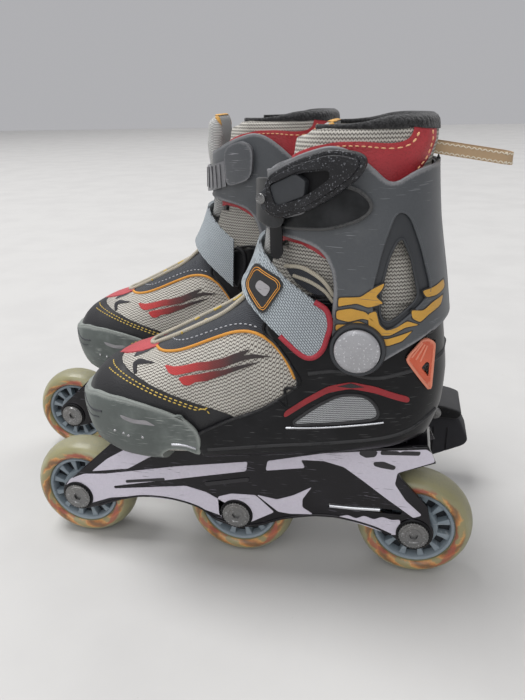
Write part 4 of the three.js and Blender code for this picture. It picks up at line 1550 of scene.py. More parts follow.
    def _over(self, plan: Outline, rise: float) -> list[Triple]:
        """Points seen from above, carried up to the form's upper side and a little over it."""
        return [(x, y, self._crown(x, y) + rise) for x, y in plan]

    @staticmethod
    def _upright(plan: Outline) -> Shape:
        """An outline seen from above, carried through the upper half of the boot.

        Args:
            plan: x and y of its corners.

        Returns:
            The solid.
        """
        made = prism([plan])
        bmesh.ops.rotate(made, verts=made.verts, cent=(0, 0, 0),
                         matrix=Matrix.Rotation(math.radians(-90), 3, "X"))
        bmesh.ops.translate(made, verts=made.verts, vec=(0, 0, 170))
        return made

    @staticmethod
    def _crown(x: float, y: float) -> float:
        """Height of the form's upper side.

        Args:
            x: place along the foot.
            y: place across it.

        Returns:
            The height.
        """
        t, turn = np.meshgrid(np.linspace(1, 9, 160), np.linspace(0, 1.5, 60))
        grid = FORM.surface(t, turn, 0.0).reshape(-1, 3)
        near = grid[np.argmin((grid[:, 0] - x) ** 2 + (grid[:, 1] - abs(y)) ** 2)]
        return float(near[2])


@dataclass
class Upper:
    """The fixed textile round the heel and inside the boot."""

    quarter: Outline = (
        (-45.6, 60), (-45.6, 142.5), (-40.6, 153.7), (-32.4, 165), (-23.3, 172.2), (-13, 173.2), (-6, 180),
        (-2, 190),
        (-76, 203), (-150, 202), (-150, 60),
    )

    def build(self) -> None:
        """Builds and fits the heel's padded quarter and the lining."""
        pad = swollen(FORM.layer(-7, -0.6, [self.quarter]), 4.5, 3.0)
        pad = combine(pad, (Cut.AWAY, FORM.solid(-7.4, 20)), (Cut.KEEP, FORM.solid(0.7, 20)))
        Fitting("quarter_pad", pad, "boot", KNIT_COLLAR, ("upper",), lay=Lay.RING, fill=0.6, sharp=180).fit()
        below = [(72, 60), (72, 230), (4, 190), (-76, 199), (-150, 197), (-150, 60)]
        lining = FORM.layer(CAVITY, -5.5, [below])
        Fitting("boot_lining", lining, "boot", LINER, lay=Lay.RING, fill=0.2).fit()


@dataclass
class Collar:
    """The padded collar that leans with the cuff, its leather panel, seams and fleece rim."""

    edge: Outline = (
        (-150, 202), (-76, 203), (20, 207), (20, 250), (-27, 252), (-33, 262), (-42, 271), (-55, 275),
        (-73, 274.5),
        (-91, 276), (-125, 320), (-150, 320),
    )
    panel: Outline = (
        (-26, 247), (-31, 251.5), (-35.5, 258), (-42, 262.4), (-50, 265.4), (-61.9, 267.8), (-74.3, 268),
        (-86.9, 266.8), (-90.6, 267.6), (-92.6, 270.6), (-93, 279), (-100.4, 279), (-101, 268.1), (-101, 259),
        (-97.6, 252.6),
        (-92.3, 243), (-84, 242), (-76, 255), (-60, 259.6), (-46, 255), (-34, 246), (-28, 243),
    )

    def build(self) -> None:
        """Builds and fits the collar's pieces."""
        gap = block((-54, -TONGUE_GAP, 150), (30, TONGUE_GAP, TOP))
        wall = combine(FORM.layer(CAVITY + 1.2, -1.0, [rounded(self.edge, 4)]), (Cut.AWAY, gap))
        pad = swollen(wall, 4.2, 2.6)
        panel = combine(skinned(pad, 0.55), (Cut.KEEP, prism([rounded(self.panel, 3)])),
                        (Cut.AWAY, FORM.solid(-4, 40)))
        Fitting("collar_panel", self._flared(panel), "cuff_section", RED_LEATHER, sharp=50).fit()
        rim = [(-20, 256), (-29.5, 261), (-34.5, 268.5), (-43, 274.6), (-56, 276.6), (-73, 276.4), (-88, 275),
               (-96, 273), (-106, 271.5), (-125, 271), (-150, 271), (-150, 330), (20, 330)]
        inner = combine(skinned(pad, 0.9), (Cut.KEEP, prism([rim])))
        Fitting("collar_fleece", self._flared(inner), "cuff_section", FLEECE, sharp=180).fit()
        liner = combine(skinned(pad, 0.35), (Cut.KEEP, FORM.solid(-4.6, 60)),
                        (Cut.KEEP, block((-140, -60, 206), (-50, 60, 268))))
        Fitting("collar_lining", self._flared(liner), "cuff_section", FLEECE, sharp=180).fit()
        seams = [
            dashes(FORM.trace([(-32, 250), (-37, 256.6), (-43, 260.6), (-50.7, 263.4), (-61.9, 265.8),
                               (-74.3, 266),
                               (-87.4, 264.8), (-92.4, 266.4), (-94.4, 272)], 1.3, 2.0), 3.0, 2.2, 0.4),
            dashes(FORM.trace([(-98.8, 272.6), (-99.2, 267.8), (-99.2, 259.4), (-95.4, 252.6)], 1.3, 2.0),
                   3.0, 2.2,
                   0.4),
        ]
        Fitting("collar_stitches", self._flared(on_both_sides(joined(*seams))), "cuff_section",
                PEACH_THREAD).fit()
        strip = FORM.layer(-1.5, 0.9, [((-31, 220.4), (-36.5, 222.6), (-45.9, 221.6), (-53.3, 219.4),
                                        (-60, 214.6),
                                        (-58, 211.6), (-52, 215), (-45, 217.6), (-36, 218.4), (-31, 216.8))])
        Fitting("collar_lower_strip", strip, "cuff_section", RED_LEATHER).fit()
        Fitting("collar_roll", self._flared(self._roll()), "cuff_section", FLEECE, sharp=180).fit()
        sleeve = combine(FORM.layer(-3.4, 0.15, [((-150, 189), (-60, 190), (0, 190), (0, 213), (-60, 214),
                                                  (-150, 212))]),
                         (Cut.AWAY, block((-52, -TONGUE_GAP, 150), (30, TONGUE_GAP, TOP))))
        Fitting("ankle_sleeve", sleeve, "boot", KNIT_COLLAR, lay=Lay.RING, fill=0.3,
                stretches=("cuff_section", (-76, 0, 191), (-76, 0, 212))).fit()
        Fitting("collar_pad", self._flared(pad), "cuff_section", KNIT_COLLAR, ("collar",), lay=Lay.RING,
                fill=0.7,
                sharp=180).fit()

    @staticmethod
    def _roll() -> Shape:
        """The fleece roll round the top, thick at the heel and thin towards the tongue."""
        turn = np.linspace(0.3, 1.7, 90)
        back = np.clip((0.58 - abs(turn - 1.0)) / 0.3, 0.0, 1.0)
        back = back * back * (3.0 - 2.0 * back)
        ring = FORM.surface(np.full(90, 16.95), turn * math.pi, -3.9)
        ring[:, 2] -= 2.6 - 1.4 * back
        made = tube([tuple(spot) for spot in ring], 1.0)
        for vert in made.verts:
            near = int(np.argmin(((ring - np.array(vert.co)) ** 2).sum(axis=1)))
            middle = Vector(ring[near])
            vert.co = middle + (vert.co - middle) * (1.2 + 2.6 * float(back[near]))
        return made

    @staticmethod
    def _flared(shape: Shape) -> Shape:
        """Leans the collar's back out to the cuff, and a little further above it.

        Args:
            shape: a piece of the collar.

        Returns:
            The same shape, moved.
        """
        for vert in shape.verts:
            behind = min(1.0, max(0.0, (-82.0 - vert.co.x) / 18.0))
            low = min(1.0, max(0.0, (vert.co.z - 236.0) / 14.0))
            high = min(1.0, max(0.0, (vert.co.z - 256.0) / 12.0))
            vert.co.x -= behind * behind * (3.0 - 2.0 * behind) * (3.8 * low + 3.6 * high)
        return shape


@dataclass
class Tongue:
    """The padded tongue, with a bright leather edge round its top."""

    half: float = 15.2
    hinge: float = 222.0  # height above which a tongue leans
    lean: dict[Side, float] = field(default_factory=lambda: {Side.LEFT: 0.34, Side.RIGHT: -0.2})

    def build(self) -> None:
        """Builds and fits the tongue."""
        edge = rounded([(20, 208), (20, 262), (-29, 269), (-37, 277.5), (-44, 278), (-58, 270), (-58, 206)],
                       6)
        sides = block((-70, -self.half, 150), (40, self.half, TOP), 4.0)
        body = combine(FORM.solid(5.2, 10), (Cut.KEEP, prism([edge])), (Cut.KEEP, sides),
                       (Cut.AWAY, FORM.solid(CAVITY + 3, 40)))
        pad = swollen(body, 4.0, 2.6)
        tool = prism([[(-60, 250), (-42.5, 256), (-41, 270), (-37.5, 275.5), (-31, 278.5), (-31, 300),
                       (-60, 300)]])
        trim = combine(skinned(pad, 0.5), (Cut.KEEP, tool),
                       (Cut.AWAY, block((-80, -self.half + 2.2, 200), (40, self.half - 2.2, 276.4))))
        for side in BOTH:
            for name, shape, finish, nodes in (
                ("tongue_trim", trim, TONGUE_TRIM, ()),
                ("tongue_pad", pad, TONGUE_MESH, ("tongue",)),
            ):
                fill = 0.7 if nodes else None
                Fitting(name, self._leant(shape, side), "boot", finish, nodes, (side,), Lay.RING, sharp=180,
                        fill=fill).fit()
        pad.free()
        trim.free()

    def _leant(self, shape: Shape, side: Side) -> Shape:
        """A copy of a shape that leans back into the boot, as far as that skate's tongue does.

        Args:
            shape: the upright shape.
            side: which skate.

        Returns:
            The copy.
        """
        made = shape.copy()
        for vert in made.verts:
            lift = max(0.0, vert.co.z - self.hinge)
            vert.co.x -= self.lean[side] * lift
            vert.co.z -= 0.03 * self.lean[side] * lift
        return made


@dataclass
class Cuff:
    """The hinged cuff with its window, recess, flames and rivets."""

    edge: Outline = (
        (-62.5, 167), (-63.5, 189), (-64.3, 199), (-62.5, 210), (-57.5, 218), (-49, 221.5), (-36, 223),
        (-10, 226),
        (-10, 250), (-28, 253), (-46, 262), (-61, 266.5), (-70, 264), (-79, 257.5), (-89, 248), (-101, 255),
        (-109, 256), (-140, 255), (-140, 182), (-118, 179), (-95, 165), (-84, 157),
    )
    window: Outline = ((-94.6, 226.4), (-100, 215), (-105, 194), (-99, 188), (-91, 181), (-86.4, 184),
                       (-86, 198), (-89.8, 217))
    recess: Outline = ((-91.6, 238), (-98, 236), (-104.4, 220), (-111, 197), (-107, 191), (-100, 184.6),
                       (-91, 176.6), (-83.4, 180), (-81.6, 197.6), (-86, 220.4))
    flames: Sequence[Outline] = (
        ((-65.8, 194), (-76.7, 195.2), (-83.1, 200.3), (-88.2, 203.2), (-87, 199.8), (-84, 196), (-88, 192.6),
         (-80.8, 190), (-74.9, 191.8), (-67.6, 190), (-65.6, 189.2)),
        ((-64.8, 187), (-72, 188.8), (-79.5, 187.4), (-84, 182.6), (-78, 184), (-71, 181.6), (-64.8, 182.8)),
        ((-64.6, 179.6), (-70, 180), (-76, 182.4), (-82, 180.2), (-76, 179.8), (-70, 176.4), (-64.6, 176.4)),
        ((-106.4, 197.6), (-112, 198), (-117, 199.6), (-118, 195), (-114, 193.6), (-108.5, 194)),
        ((-101.6, 188.6), (-107.6, 187.4), (-112, 190.6), (-117.4, 192), (-116.4, 187.6), (-110.6, 185),
         (-106.4, 181.6), (-102.4, 184.2)),
        ((-80.7, 186.6), (-84.6, 188.4), (-86.4, 181), (-90, 177.8), (-94.6, 179.4), (-100, 183),
         (-106, 180.4),
         (-99.4, 179.8), (-92, 175.4), (-86, 175.2), (-81.4, 178)),
        ((-84.6, 173.6), (-90.6, 173.2), (-97, 175.4), (-103, 177.6), (-98, 172.2), (-91, 169.6),
         (-86, 170.6)),
    )
    pivot_half: float = 37.0

    def build(self) -> None:
        """Builds and fits the cuff's pieces."""
        edge = rounded(self.edge, 6)
        gap = block((-60, -TONGUE_GAP, 150), (40, TONGUE_GAP, TOP))
        window = rounded(self.window, 4)
        recess = rounded(self.recess, 6)
        shell = combine(FORM.layer(CUFF_IN, CUFF_OUT - 1.0, [edge]), (Cut.AWAY, gap),
                        (Cut.AWAY, prism([window])))
        Fitting("cuff_inner_wall", shell, "cuff_section", CUFF_RECESS, ("cuff",), edge=edge).fit()
        gap = block((-60, -TONGUE_GAP, 150), (40, TONGUE_GAP, TOP))
        face = combine(FORM.layer(CUFF_OUT - 1.2, CUFF_OUT + 0.3, [edge]), (Cut.AWAY, gap),
                       (Cut.AWAY, prism([recess])))
        Fitting("cuff_face", face, "cuff_section", CUFF_GREY, edge=edge).fit()
        rims = [
            tube(FORM.trace(edge[5:100], CUFF_OUT - 0.6, 2.0), 0.95),
            tube(FORM.trace([*recess, recess[0]], CUFF_OUT - 0.25, 2.0), 0.75),
        ]
        Fitting("cuff_rims", on_both_sides(joined(*rims)), "cuff_section", CUFF_GREY, edge=edge).fit()
        lip = tube(FORM.trace([*window, window[0]], CUFF_OUT - 1.2, 1.8), 0.8)
        Fitting("cuff_window_lip", on_both_sides(lip), "cuff_section", CUFF_RECESS).fit()
        keep = grown(edge, -0.9)  # the print stops short of the edge
        for name, outlines, height, finish in (
            ("cuff_flame_edges", [rounded(grown(f, 0.75), 1.0, 2) for f in self.flames], 0.42, FLAME_EDGE),
            ("cuff_flames", [rounded(f, 1.2, 2) for f in self.flames], 0.56, GOLD_FILM),
        ):
            film = joined(*(FORM.layer(CUFF_OUT - 0.4, CUFF_OUT + height, [outline]) for outline in outlines))
            Fitting(name, combine(film, (Cut.KEEP, prism([keep]))), "cuff_section", finish).fit()
        self._rivets()

    def _rivets(self) -> None:
        """Round pads on the cuff and the capped rivets through them."""
        pad = self.pivot_half + CUFF_OUT + 0.6
        ring = turned([(11.9, 38.6), (14.2, 38.6), (14.6, pad - 1.2), (13.9, pad), (12.4, pad),
                       (11.9, pad - 0.8)],
                      PIVOT, 56)
        floor = turned([(4.4, 38.6), (12.6, 38.6), (12.6, pad - 0.6), (4.4, pad - 0.6)], PIVOT, 40)
        Fitting("pivot_pads", on_both_sides(joined(ring, floor)), "cuff_section", CUFF_RECESS).fit()
        for sign, node in ((1, "outer"), (-1, "inner")):
            head = pad + 0.3
            profile = [(0, 36.9), (4, 36.9), (4, head), (11.3, head), (11.7, head + 0.4), (11.7, head + 1.3),
                       (11.0, head + 2.1), (9.6, head + 2.45), (5, head + 2.6), (0, head + 2.65)]
            cap = turned([(r, y * sign) for r, y in profile], PIVOT, 56, closed=False)
            Fitting(f"pivot_rivet_{node}", cap, "boot", RIVET_SILVER, (f"rivet_{node}",),
                    centre=(PIVOT[0], 0, PIVOT[1])).fit()


@dataclass
class Buckle:
    """The top buckle: base, toothed strap, anchor and lever."""

    base: Outline = ((-12, 228), (-37, 227.5), (-60, 229), (-76, 234), (-82, 240), (-76, 247), (-60, 252),
                     (-30, 249.5), (-12, 246))
    ladder: Outline = ((0, 222), (-26, 228.5), (-50, 236.5), (-50, 252.5), (-26, 245.5), (0, 240))
    anchor: Outline = ((-41, 233), (-60, 239), (-62, 258), (-54, 263), (-41, 258))
    root: Triple = (-30.0, 41.0, 243.0)
    tip: Triple = (-80.0, 58.0, 262.0)
    lever: Outline = ((-3, -4.8), (3, -11.8), (23, -12.5), (36, -10), (49, -6.5), (55.5, -1), (54, 4),
                      (41, 10.3),
                      (22, 11.2), (4.5, 9))
    opening: Outline = ((7, -4.6), (24, -5.4), (37, -2), (37.6, 1.4), (24, 4.8), (7, 4))

    def _hold(self) -> Matrix:
        """The lever's own axes: along it, across it and out of the boot."""
        u = (Vector(self.tip) - Vector(self.root)).normalized()
        v = (Vector((0, 0, 1)) - u * u.z).normalized()
        turn = Matrix((u, v, u.cross(v))).transposed().to_4x4()
        return Matrix.Translation(self.root) @ turn

    def _held(self, shape: Shape) -> Shape:
        """Carries a shape drawn in x and z, with its depth in -y, onto the lever's axes."""
        stand = Matrix(((1, 0, 0, 0), (0, 0, 1, 0), (0, -1, 0, 0), (0, 0, 0, 1)))
        bmesh.ops.transform(shape, matrix=self._hold() @ stand, verts=shape.verts)
        return shape

    def build(self) -> None:
        """Builds and fits the buckle's pieces."""
        base_edge = rounded(self.base, 5)
        base = FORM.layer(CUFF_OUT + 0.3, CUFF_OUT + 2.8, [base_edge], 17.2)
        Fitting("buckle_base_plate", base, "cuff_section", BUCKLE_DARK, ("buckle_base",),
                edge=base_edge).fit()
        rim = tube(FORM.trace([*base_edge, base_edge[0]], CUFF_OUT + 2.4, 2.0), 0.9)
        rim = combine(rim, (Cut.KEEP, block((-140, 18, 150), (60, 90, TOP))))
        Fitting("buckle_base_rim", rim, "cuff_section", BUCKLE_DARK).fit()
        ladder = FORM.layer(10.9, 12.6, [rounded(self.ladder, 3)])
        ladder = combine(ladder, (Cut.AWAY, block((-140, -90, 150), (-40.7, 0, TOP))))
        Fitting("ladder_strap_band", ladder, "cuff_section", BUCKLE_GREY, ("ladder_strap",)).fit()
        teeth = []
        for i in range(9):
            x = -1.0 - i * 4.2
            teeth.append([(x, 226.5 - x * 0.15), (x - 1.9, 226.9 - x * 0.15), (x - 2.4, 238.5 - x * 0.26),
                          (x - 0.5, 238 - x * 0.26)])
        teeth_made = combine(FORM.layer(12.3, 13.3, teeth),
                             (Cut.AWAY, block((-140, -90, 150), (-38, 0, TOP))))
        Fitting("ladder_strap_teeth", teeth_made, "cuff_section", BUCKLE_GREY).fit()
        anchor_edge = rounded(self.anchor, 6)
        anchor = FORM.layer(8.1, 13.1, [anchor_edge], -FAR, 0)
        Fitting("strap_anchor_block", anchor, "cuff_section", BUCKLE_GREY, ("strap_anchor",),
                edge=anchor_edge).fit()
        screw = turned([(0, 12.4), (3.4, 12.4), (3.4, 14.2), (2.6, 14.8), (0, 14.8)], (-51, 248), 24,
                       closed=False)
        bmesh.ops.translate(screw, verts=screw.verts, vec=(0, 27, 0))
        Fitting("strap_anchor_screw", mirrored(screw), "cuff_section", STEEL).fit()
        housing = [(-13, 243), (-14, 230), (-30, 226.5), (-38, 229), (-39, 249), (-30, 252), (-18, 249)]
        head = FORM.layer(12.9, 15.2, [rounded(housing, 5)], 16)
        Fitting("buckle_housing", head, "cuff_section", BUCKLE_DARK, edge=rounded(housing, 5)).fit()
        self._lever()

    def _lever(self) -> None:
        """The ratchet lever, with its gritty rim flecked with painted glints, grey insert and pin."""
        body = prism([rounded(self.lever, 6)], -4.5, 0.0, 1.3)
        body = combine(body, (Cut.AWAY, prism([rounded(self.opening, 2.5)], -20, 20)))
        crown = prism([rounded(grown(self.lever, -2.4), 5)], -6.0, -3.0, 1.4)
        crown = combine(crown, (Cut.AWAY, prism([rounded(grown(self.opening, 1.2), 2.5)], -20, 20)))
        Fitting("lever_body", self._held(body), "lever", LEVER_GRIT_AND_GLINTS, ("buckle_lever",), sharp=55).fit()
        Fitting("lever_crown", self._held(crown), "lever", LEVER_GRIT_AND_GLINTS, sharp=55).fit()
        insert = prism([rounded([(-2.4, -5.2), (4, -6.4), (22, -5.6), (25, 0.6), (21, 5.4), (4, 4.4),
                                 (-2, 2.4)],
                                1.4)], -5.2, 1.2, 0.6)
        Fitting("lever_insert", self._held(insert), "lever", CUFF_RECESS).fit()
        floor = prism([rounded(grown(self.opening, 1.0), 2.5)], -1.2, 0.6)
        Fitting("lever_floor", self._held(floor), "lever", BLACK_PLAIN).fit()
        pin = prism([arc((0, 0), 2.6, 0, 1.9, 18)], -7.0, 2.0, 0.5)
        Fitting("lever_pin", self._held(pin), "lever", STEEL).fit()
        tail = FORM.layer(10.6, 12.6, [rounded([(-28.5, 231), (-36, 231), (-36.6, 214), (-34.6, 211),
                                                (-30.6, 211),
                                                (-29, 214)], 2)], 20)
        Fitting("buckle_tail", tail, "boot", BLACK_PLAIN,
                stretches=("cuff_section", (-33, 0, 209), (-33, 0, 229))).fit()


@dataclass
class InstepStrap:
    """The webbing strap over the instep, its patch, binding and sling."""

    edge: Outline = (
        (10, 208), (-13, 190.5), (-36, 172.5), (-47, 163.5), (-53, 162), (-58, 166), (-60.5, 173), (-62, 180),
        (-60, 187.5), (-49, 194.5), (-38, 201), (-24, 212), (-4, 228),
    )
    patch: Outline = ((-13, 195), (-17.5, 204.6), (-21, 206.6), (-35, 201.8), (-37.4, 198), (-27.6, 183.6),
                      (-24.4, 183.8))
    inner: float = 9.1
    outer: float = 11.2

    def build(self) -> None:
        """Builds and fits the strap's pieces."""
        edge = rounded(self.edge, 4)
        cut = block((-140, -90, 100), (-44, 0, TOP))
        band = combine(FORM.layer(self.inner, self.outer, [edge]), (Cut.AWAY, cut))
        Fitting("instep_webbing", band, "boot", STRAP_WEAVE, ("instep_strap",), edge=edge, fill=0.1).fit()
        rounded_end = [(-36, 172.5), (-47, 163.5), (-53, 162), (-58, 166), (-60.5, 173), (-62, 180),
                       (-60, 187.5),
                       (-54, 191.3)]
        binding = tube(FORM.trace(rounded_end, self.outer - 0.5, 1.6), 1.5)
        Fitting("instep_binding", binding, "boot", RED_BINDING).fit()
        patch = rounded(self.patch, 3)
        Fitting("instep_patch", FORM.layer(self.outer - 0.2, self.outer + 1.0, [patch], 0, FAR), "boot",
                PATCH_BLACK,
                edge=patch).fit()
        lines = [tube(FORM.trace([*ring, ring[0]], self.outer + 1.0, 1.6), 0.22)
                 for ring in (rounded(grown(self.patch, -1.5), 2.0), rounded(grown(self.patch, -2.6), 2.0))]
        Fitting("instep_patch_lines", joined(*lines), "boot", ORANGE_CORD).fit()
        emblem = [(-20.5, 195.5), (-23, 199.6), (-30.5, 196.6), (-27.5, 191.4)]
        Fitting("instep_patch_emblem", FORM.layer(self.outer + 0.9, self.outer + 1.35, [rounded(emblem, 2.2)],
                                                  0,
                                                  FAR), "boot", BADGE_GREY).fit()
        slings = [
            tube(FORM.trace([(-36, 205.8), (-46, 206.4), (-56.4, 201.4), (-63, 193.4)], 3.9, 2.0), 1.1),
            tube(FORM.trace([(-41, 201.6), (-50, 199.6), (-58, 195.4), (-62.6, 190)], 3.9, 2.0), 1.0),
        ]
        Fitting("instep_sling", joined(*slings), "boot", CREAM_CLOTH, lay=Lay.RING).fit()
        web = FORM.layer(3.0, 3.8, [rounded([(-36, 205.5), (-47, 205.6), (-56, 200.6), (-61.6, 193),
                                             (-52, 193),
                                             (-42, 198.4)], 3)], 0, FAR)
        Fitting("instep_sling_web", web, "boot", GUSSET, lay=Lay.RING).fit()
        ring = [(-44, 169), (-46.5, 164.6), (-50, 173), (-52.5, 181), (-51, 189.5), (-46, 192)]
        inner_ring = tube(FORM.trace(ring, 9.3, 1.8), 1.5)
        Fitting("instep_ring", mirrored(inner_ring), "boot", BLACK_PLAIN).fit()


@dataclass
class PullLoop:
    """The webbing loop behind the collar."""

    root: float = -105.0
    length: float = 41.5
    sag: float = 0.16  # drop for each millimetre behind the collar
    half: float = 6.0
    web: float = 1.4
    low: float = 260.5
    high: float = 266.6

    def _path(self, half: float) -> list[Pair]:
        """The loop seen from above, where it is so many millimetres from its middle line."""
        end = (self.root - self.length + self.half, 0)
        return [(self.root, half), *arc(end, half, 0.5, 1.5, 14), (self.root, -half)]

    def _strand(self, inset: float, low: float, high: float, thick: float) -> Shape:
        """A band along the loop's path.

        Args:
            inset: how far it stands inside the loop's outer face.
            low: its lower edge.
            high: its upper edge.
            thick: its thickness.

        Returns:
            The band.
        """
        path, inner = self._path(self.half - inset), self._path(self.half - inset - thick)
        made = bmesh.new()
        for a, b, c, d in zip(path, path[1:], inner[1:], inner):
            made.faces.new([made.verts.new((x, y, low)) for x, y in (a, b, c, d)])
        bmesh.ops.remove_doubles(made, verts=made.verts, dist=WELD)
        raised = bmesh.ops.extrude_face_region(made, geom=list(made.faces))
        spots = [e for e in raised["geom"] if isinstance(e, bmesh.types.BMVert)]
        bmesh.ops.translate(made, verts=spots, vec=(0, 0, high - low))
        bmesh.ops.recalc_face_normals(made, faces=made.faces)
        for vert in made.verts:
            vert.co.z -= self.sag * (self.root - vert.co.x)
        return made

    def build(self) -> None:
        """Builds and fits the loop's pieces."""
        outer = self._strand(0.0, self.low, self.high, self.web * 0.55)
        Fitting("pull_loop_web", outer, "cuff_section", LOOP_WEAVE, ("pull_loop",), fill=0.1).fit()
        inner = self._strand(self.web * 0.52, self.low + 0.8, self.high - 0.8, self.web * 0.45)
        Fitting("pull_loop_inside", inner, "cuff_section", LOOP_ORANGE).fit()
        rows = []
        for z in (self.high - 0.9, self.low + 0.9):
            path = along([(x, y, z) for x, y in self._path(self.half)], 1.3)
            path[:, 2] += np.where(np.arange(len(path)) % 2, 0.5, -0.5) - self.sag * (self.root - path[:, 0])
            rows.append(beads(path, (0.95, 0.34, 0.34)))
        Fitting("pull_loop_zigzag", joined(*rows), "cuff_section", CREAM_THREAD).fit()


@dataclass
class Chassis:
    """The frame under the boot, its printed films and the axle bolts."""

    pitch: float = 112.5
    axle: float = 36.0
    half: float = 16.0
    plate: float = 2.6
    top: Outline = ((66, 83.1), (44, 83.1), (20, 84.1), (-6, 86.7), (-34, 89.2), (-66, 92.7), (-100, 96.7),
                    (-116.5, 99.1))
    low: Outline = (
        (-0.88, -3.5), (-0.76, 1.5), (-0.58, 5), (-0.44, 4), (-0.27, -1), (-0.12, -8.5), (0, -10.5),
        (0.12, -8),
        (0.22, 0), (0.35, 4), (0.48, 5), (0.61, 3.5), (0.75, -1.5), (0.87, -7.5),
    )
    films: Sequence[Outline] = (
        ((99.9, 56.7), (87.9, 67.4), (75.5, 75.3), (57.3, 79.8), (39.9, 80.7), (58.1, 71.7), (73.2, 61.8)),
        ((117.2, 48.5), (106.2, 53.8), (90.3, 55.7), (38.2, 67.5), (-8.5, 76.1), (-7.4, 69.1), (33.3, 59.3),
         (85.5, 46.7), (84.8, 44.7), (33.8, 53.1), (20.2, 50), (7, 43), (0.2, 33), (11.1, 33), (36.6, 40.6),
         (67, 41.2),
         (88.9, 37), (103.5, 30.8), (112, 27.6), (119.3, 30), (121.5, 37), (120.5, 44)),
        ((12.2, 47.5), (3, 51), (-13, 51.8), (-25, 40.4), (-10.6, 31.4), (-3, 27.4), (6, 28.8), (12, 33.4)),
        ((-13.8, 52.2), (-26.9, 50.3), (-37.3, 54.6), (-49.2, 62.3), (-43.3, 52.6), (-43.3, 46.5),
         (-50.2, 42.2),
         (-35.5, 40.6), (-27.5, 41.2)),
        ((-21.4, 78.1), (-55.5, 87.2), (-77.9, 90.8), (-116.1, 96.4), (-119.3, 93.8), (-121.4, 88.4),
         (-100.5, 78.6),
         (-99.4, 70.4), (-106.3, 59.8), (-116.5, 50.4), (-111.7, 47.8), (-94.3, 60.2), (-80.2, 70.9),
         (-68.7, 79.1),
         (-56.4, 82), (-42.4, 81.2), (-44.9, 75.8), (-20.1, 71)),
        ((-65.4, 42.4), (-72, 44.6), (-77, 42.6), (-82, 45.4), (-88, 43.4), (-93, 46), (-99, 44.4),
         (-103.9, 45.4),
         (-104.4, 34.6), (-99.8, 33.4), (-81.4, 38.4)),
    )
    blots: Sequence[Outline] = (
        ((-78, 92.4), (-84, 94.4), (-88.5, 91.6), (-87, 88.2), (-81.5, 87), (-77.5, 89)),
        ((-90, 92.8), (-100, 93.6), (-101, 92.6), (-103, 93.9), (-113, 94.6), (-112.4, 91.8), (-90, 90)),
        ((-86, 84.6), (-92, 85.6), (-99.5, 83), (-98.5, 80.4), (-91, 81), (-86.5, 82)),
        ((21, 57.4), (-9, 64.6), (-9, 61.8), (20, 54.8)),
        ((76, 52.6), (48, 57.6), (48, 55.4), (76, 50.4)),
    )

    def _side(self) -> list[Pair]:
        """The frame's side view."""
        rear = [(-119.5, 56), (-103, 74), (-101, 78), (-122, 87)][::-1]
        return [
            (80, 82.8), *self.top, *rear,
            *arc((-self.pitch, self.axle), 12, 0.8, 1.6, 10),
            *((x * self.pitch, z + self.axle) for x, z in self.low),
            *arc((self.pitch, self.axle), 12, -0.5, 0.22, 10),
        ]

    def build(self) -> None:
        """Builds and fits the frame's pieces."""
        side = self._side()
        inside = self.half - self.plate
        channel = [(184, 0), (184, 79), *((x, z - 4) for x, z in self.top), (-184, 95.1), (-184, 0)]
        slot = arc((-61, 50), 1.6, -0.5, 0.5, 6) + arc((-103, 50.5), 1.6, 0.5, 1.5, 6)
        body = combine(
            prism([side], -self.half, self.half, 0.9),
            (Cut.AWAY, prism([channel], -inside, inside)),
            (Cut.AWAY, prism([slot])),
        )
        Fitting("frame_rails", body, "boot", BLACK_GLOSS, ("frame",)).fit()
        flange = tube(along([(x, self.half - 0.2, z - 1.6) for x, z in ((80, 82.8), *self.top)], 3.0), 1.3)
        lower = tube(along([(x * self.pitch, self.half - 0.4, z + self.axle + 1.2) for x, z in self.low],
                           3.0), 1.1)
        Fitting("frame_flanges", on_both_sides(joined(flange, lower)), "boot", BLACK_GLOSS).fit()
        films = prism([rounded(f, 1.4, 3) for f in self.films], self.half - 0.2, self.half + 0.35)
        Fitting("frame_films", films, "boot", PALE_FILM).fit()
        blots = prism([rounded(b, 1.2, 3) for b in self.blots], self.half - 0.2, self.half + 0.5)
        Fitting("frame_film_marks", blots, "boot", DARK_FILM).fit()
        # raised rib with a silver metal finish: a painted highlight along the ridge of the black frame, over
        # its slot
        rib = tube([(-60.5, self.half + 0.1, 50), (-75, self.half + 0.2, 50.3),
                    (-91.5, self.half + 0.1, 51.2)], 1.35)
        Fitting("frame_highlight_rib", rib, "boot", SILVER_TRIM_AND_HIGHLIGHT).fit()
        lugs = []
        for x, z in ((44, 81), (-66, 90.4)):
            lugs.append(block((x - 14, -15, z - 6), (x + 14, 15, z), 1.2))
        Fitting("frame_mounts", joined(*lugs), "boot", BLACK_PLAIN).fit()
        for end, x in (("front", self.pitch), ("middle", 0.0), ("rear", -self.pitch)):
            self._axle(end, x)

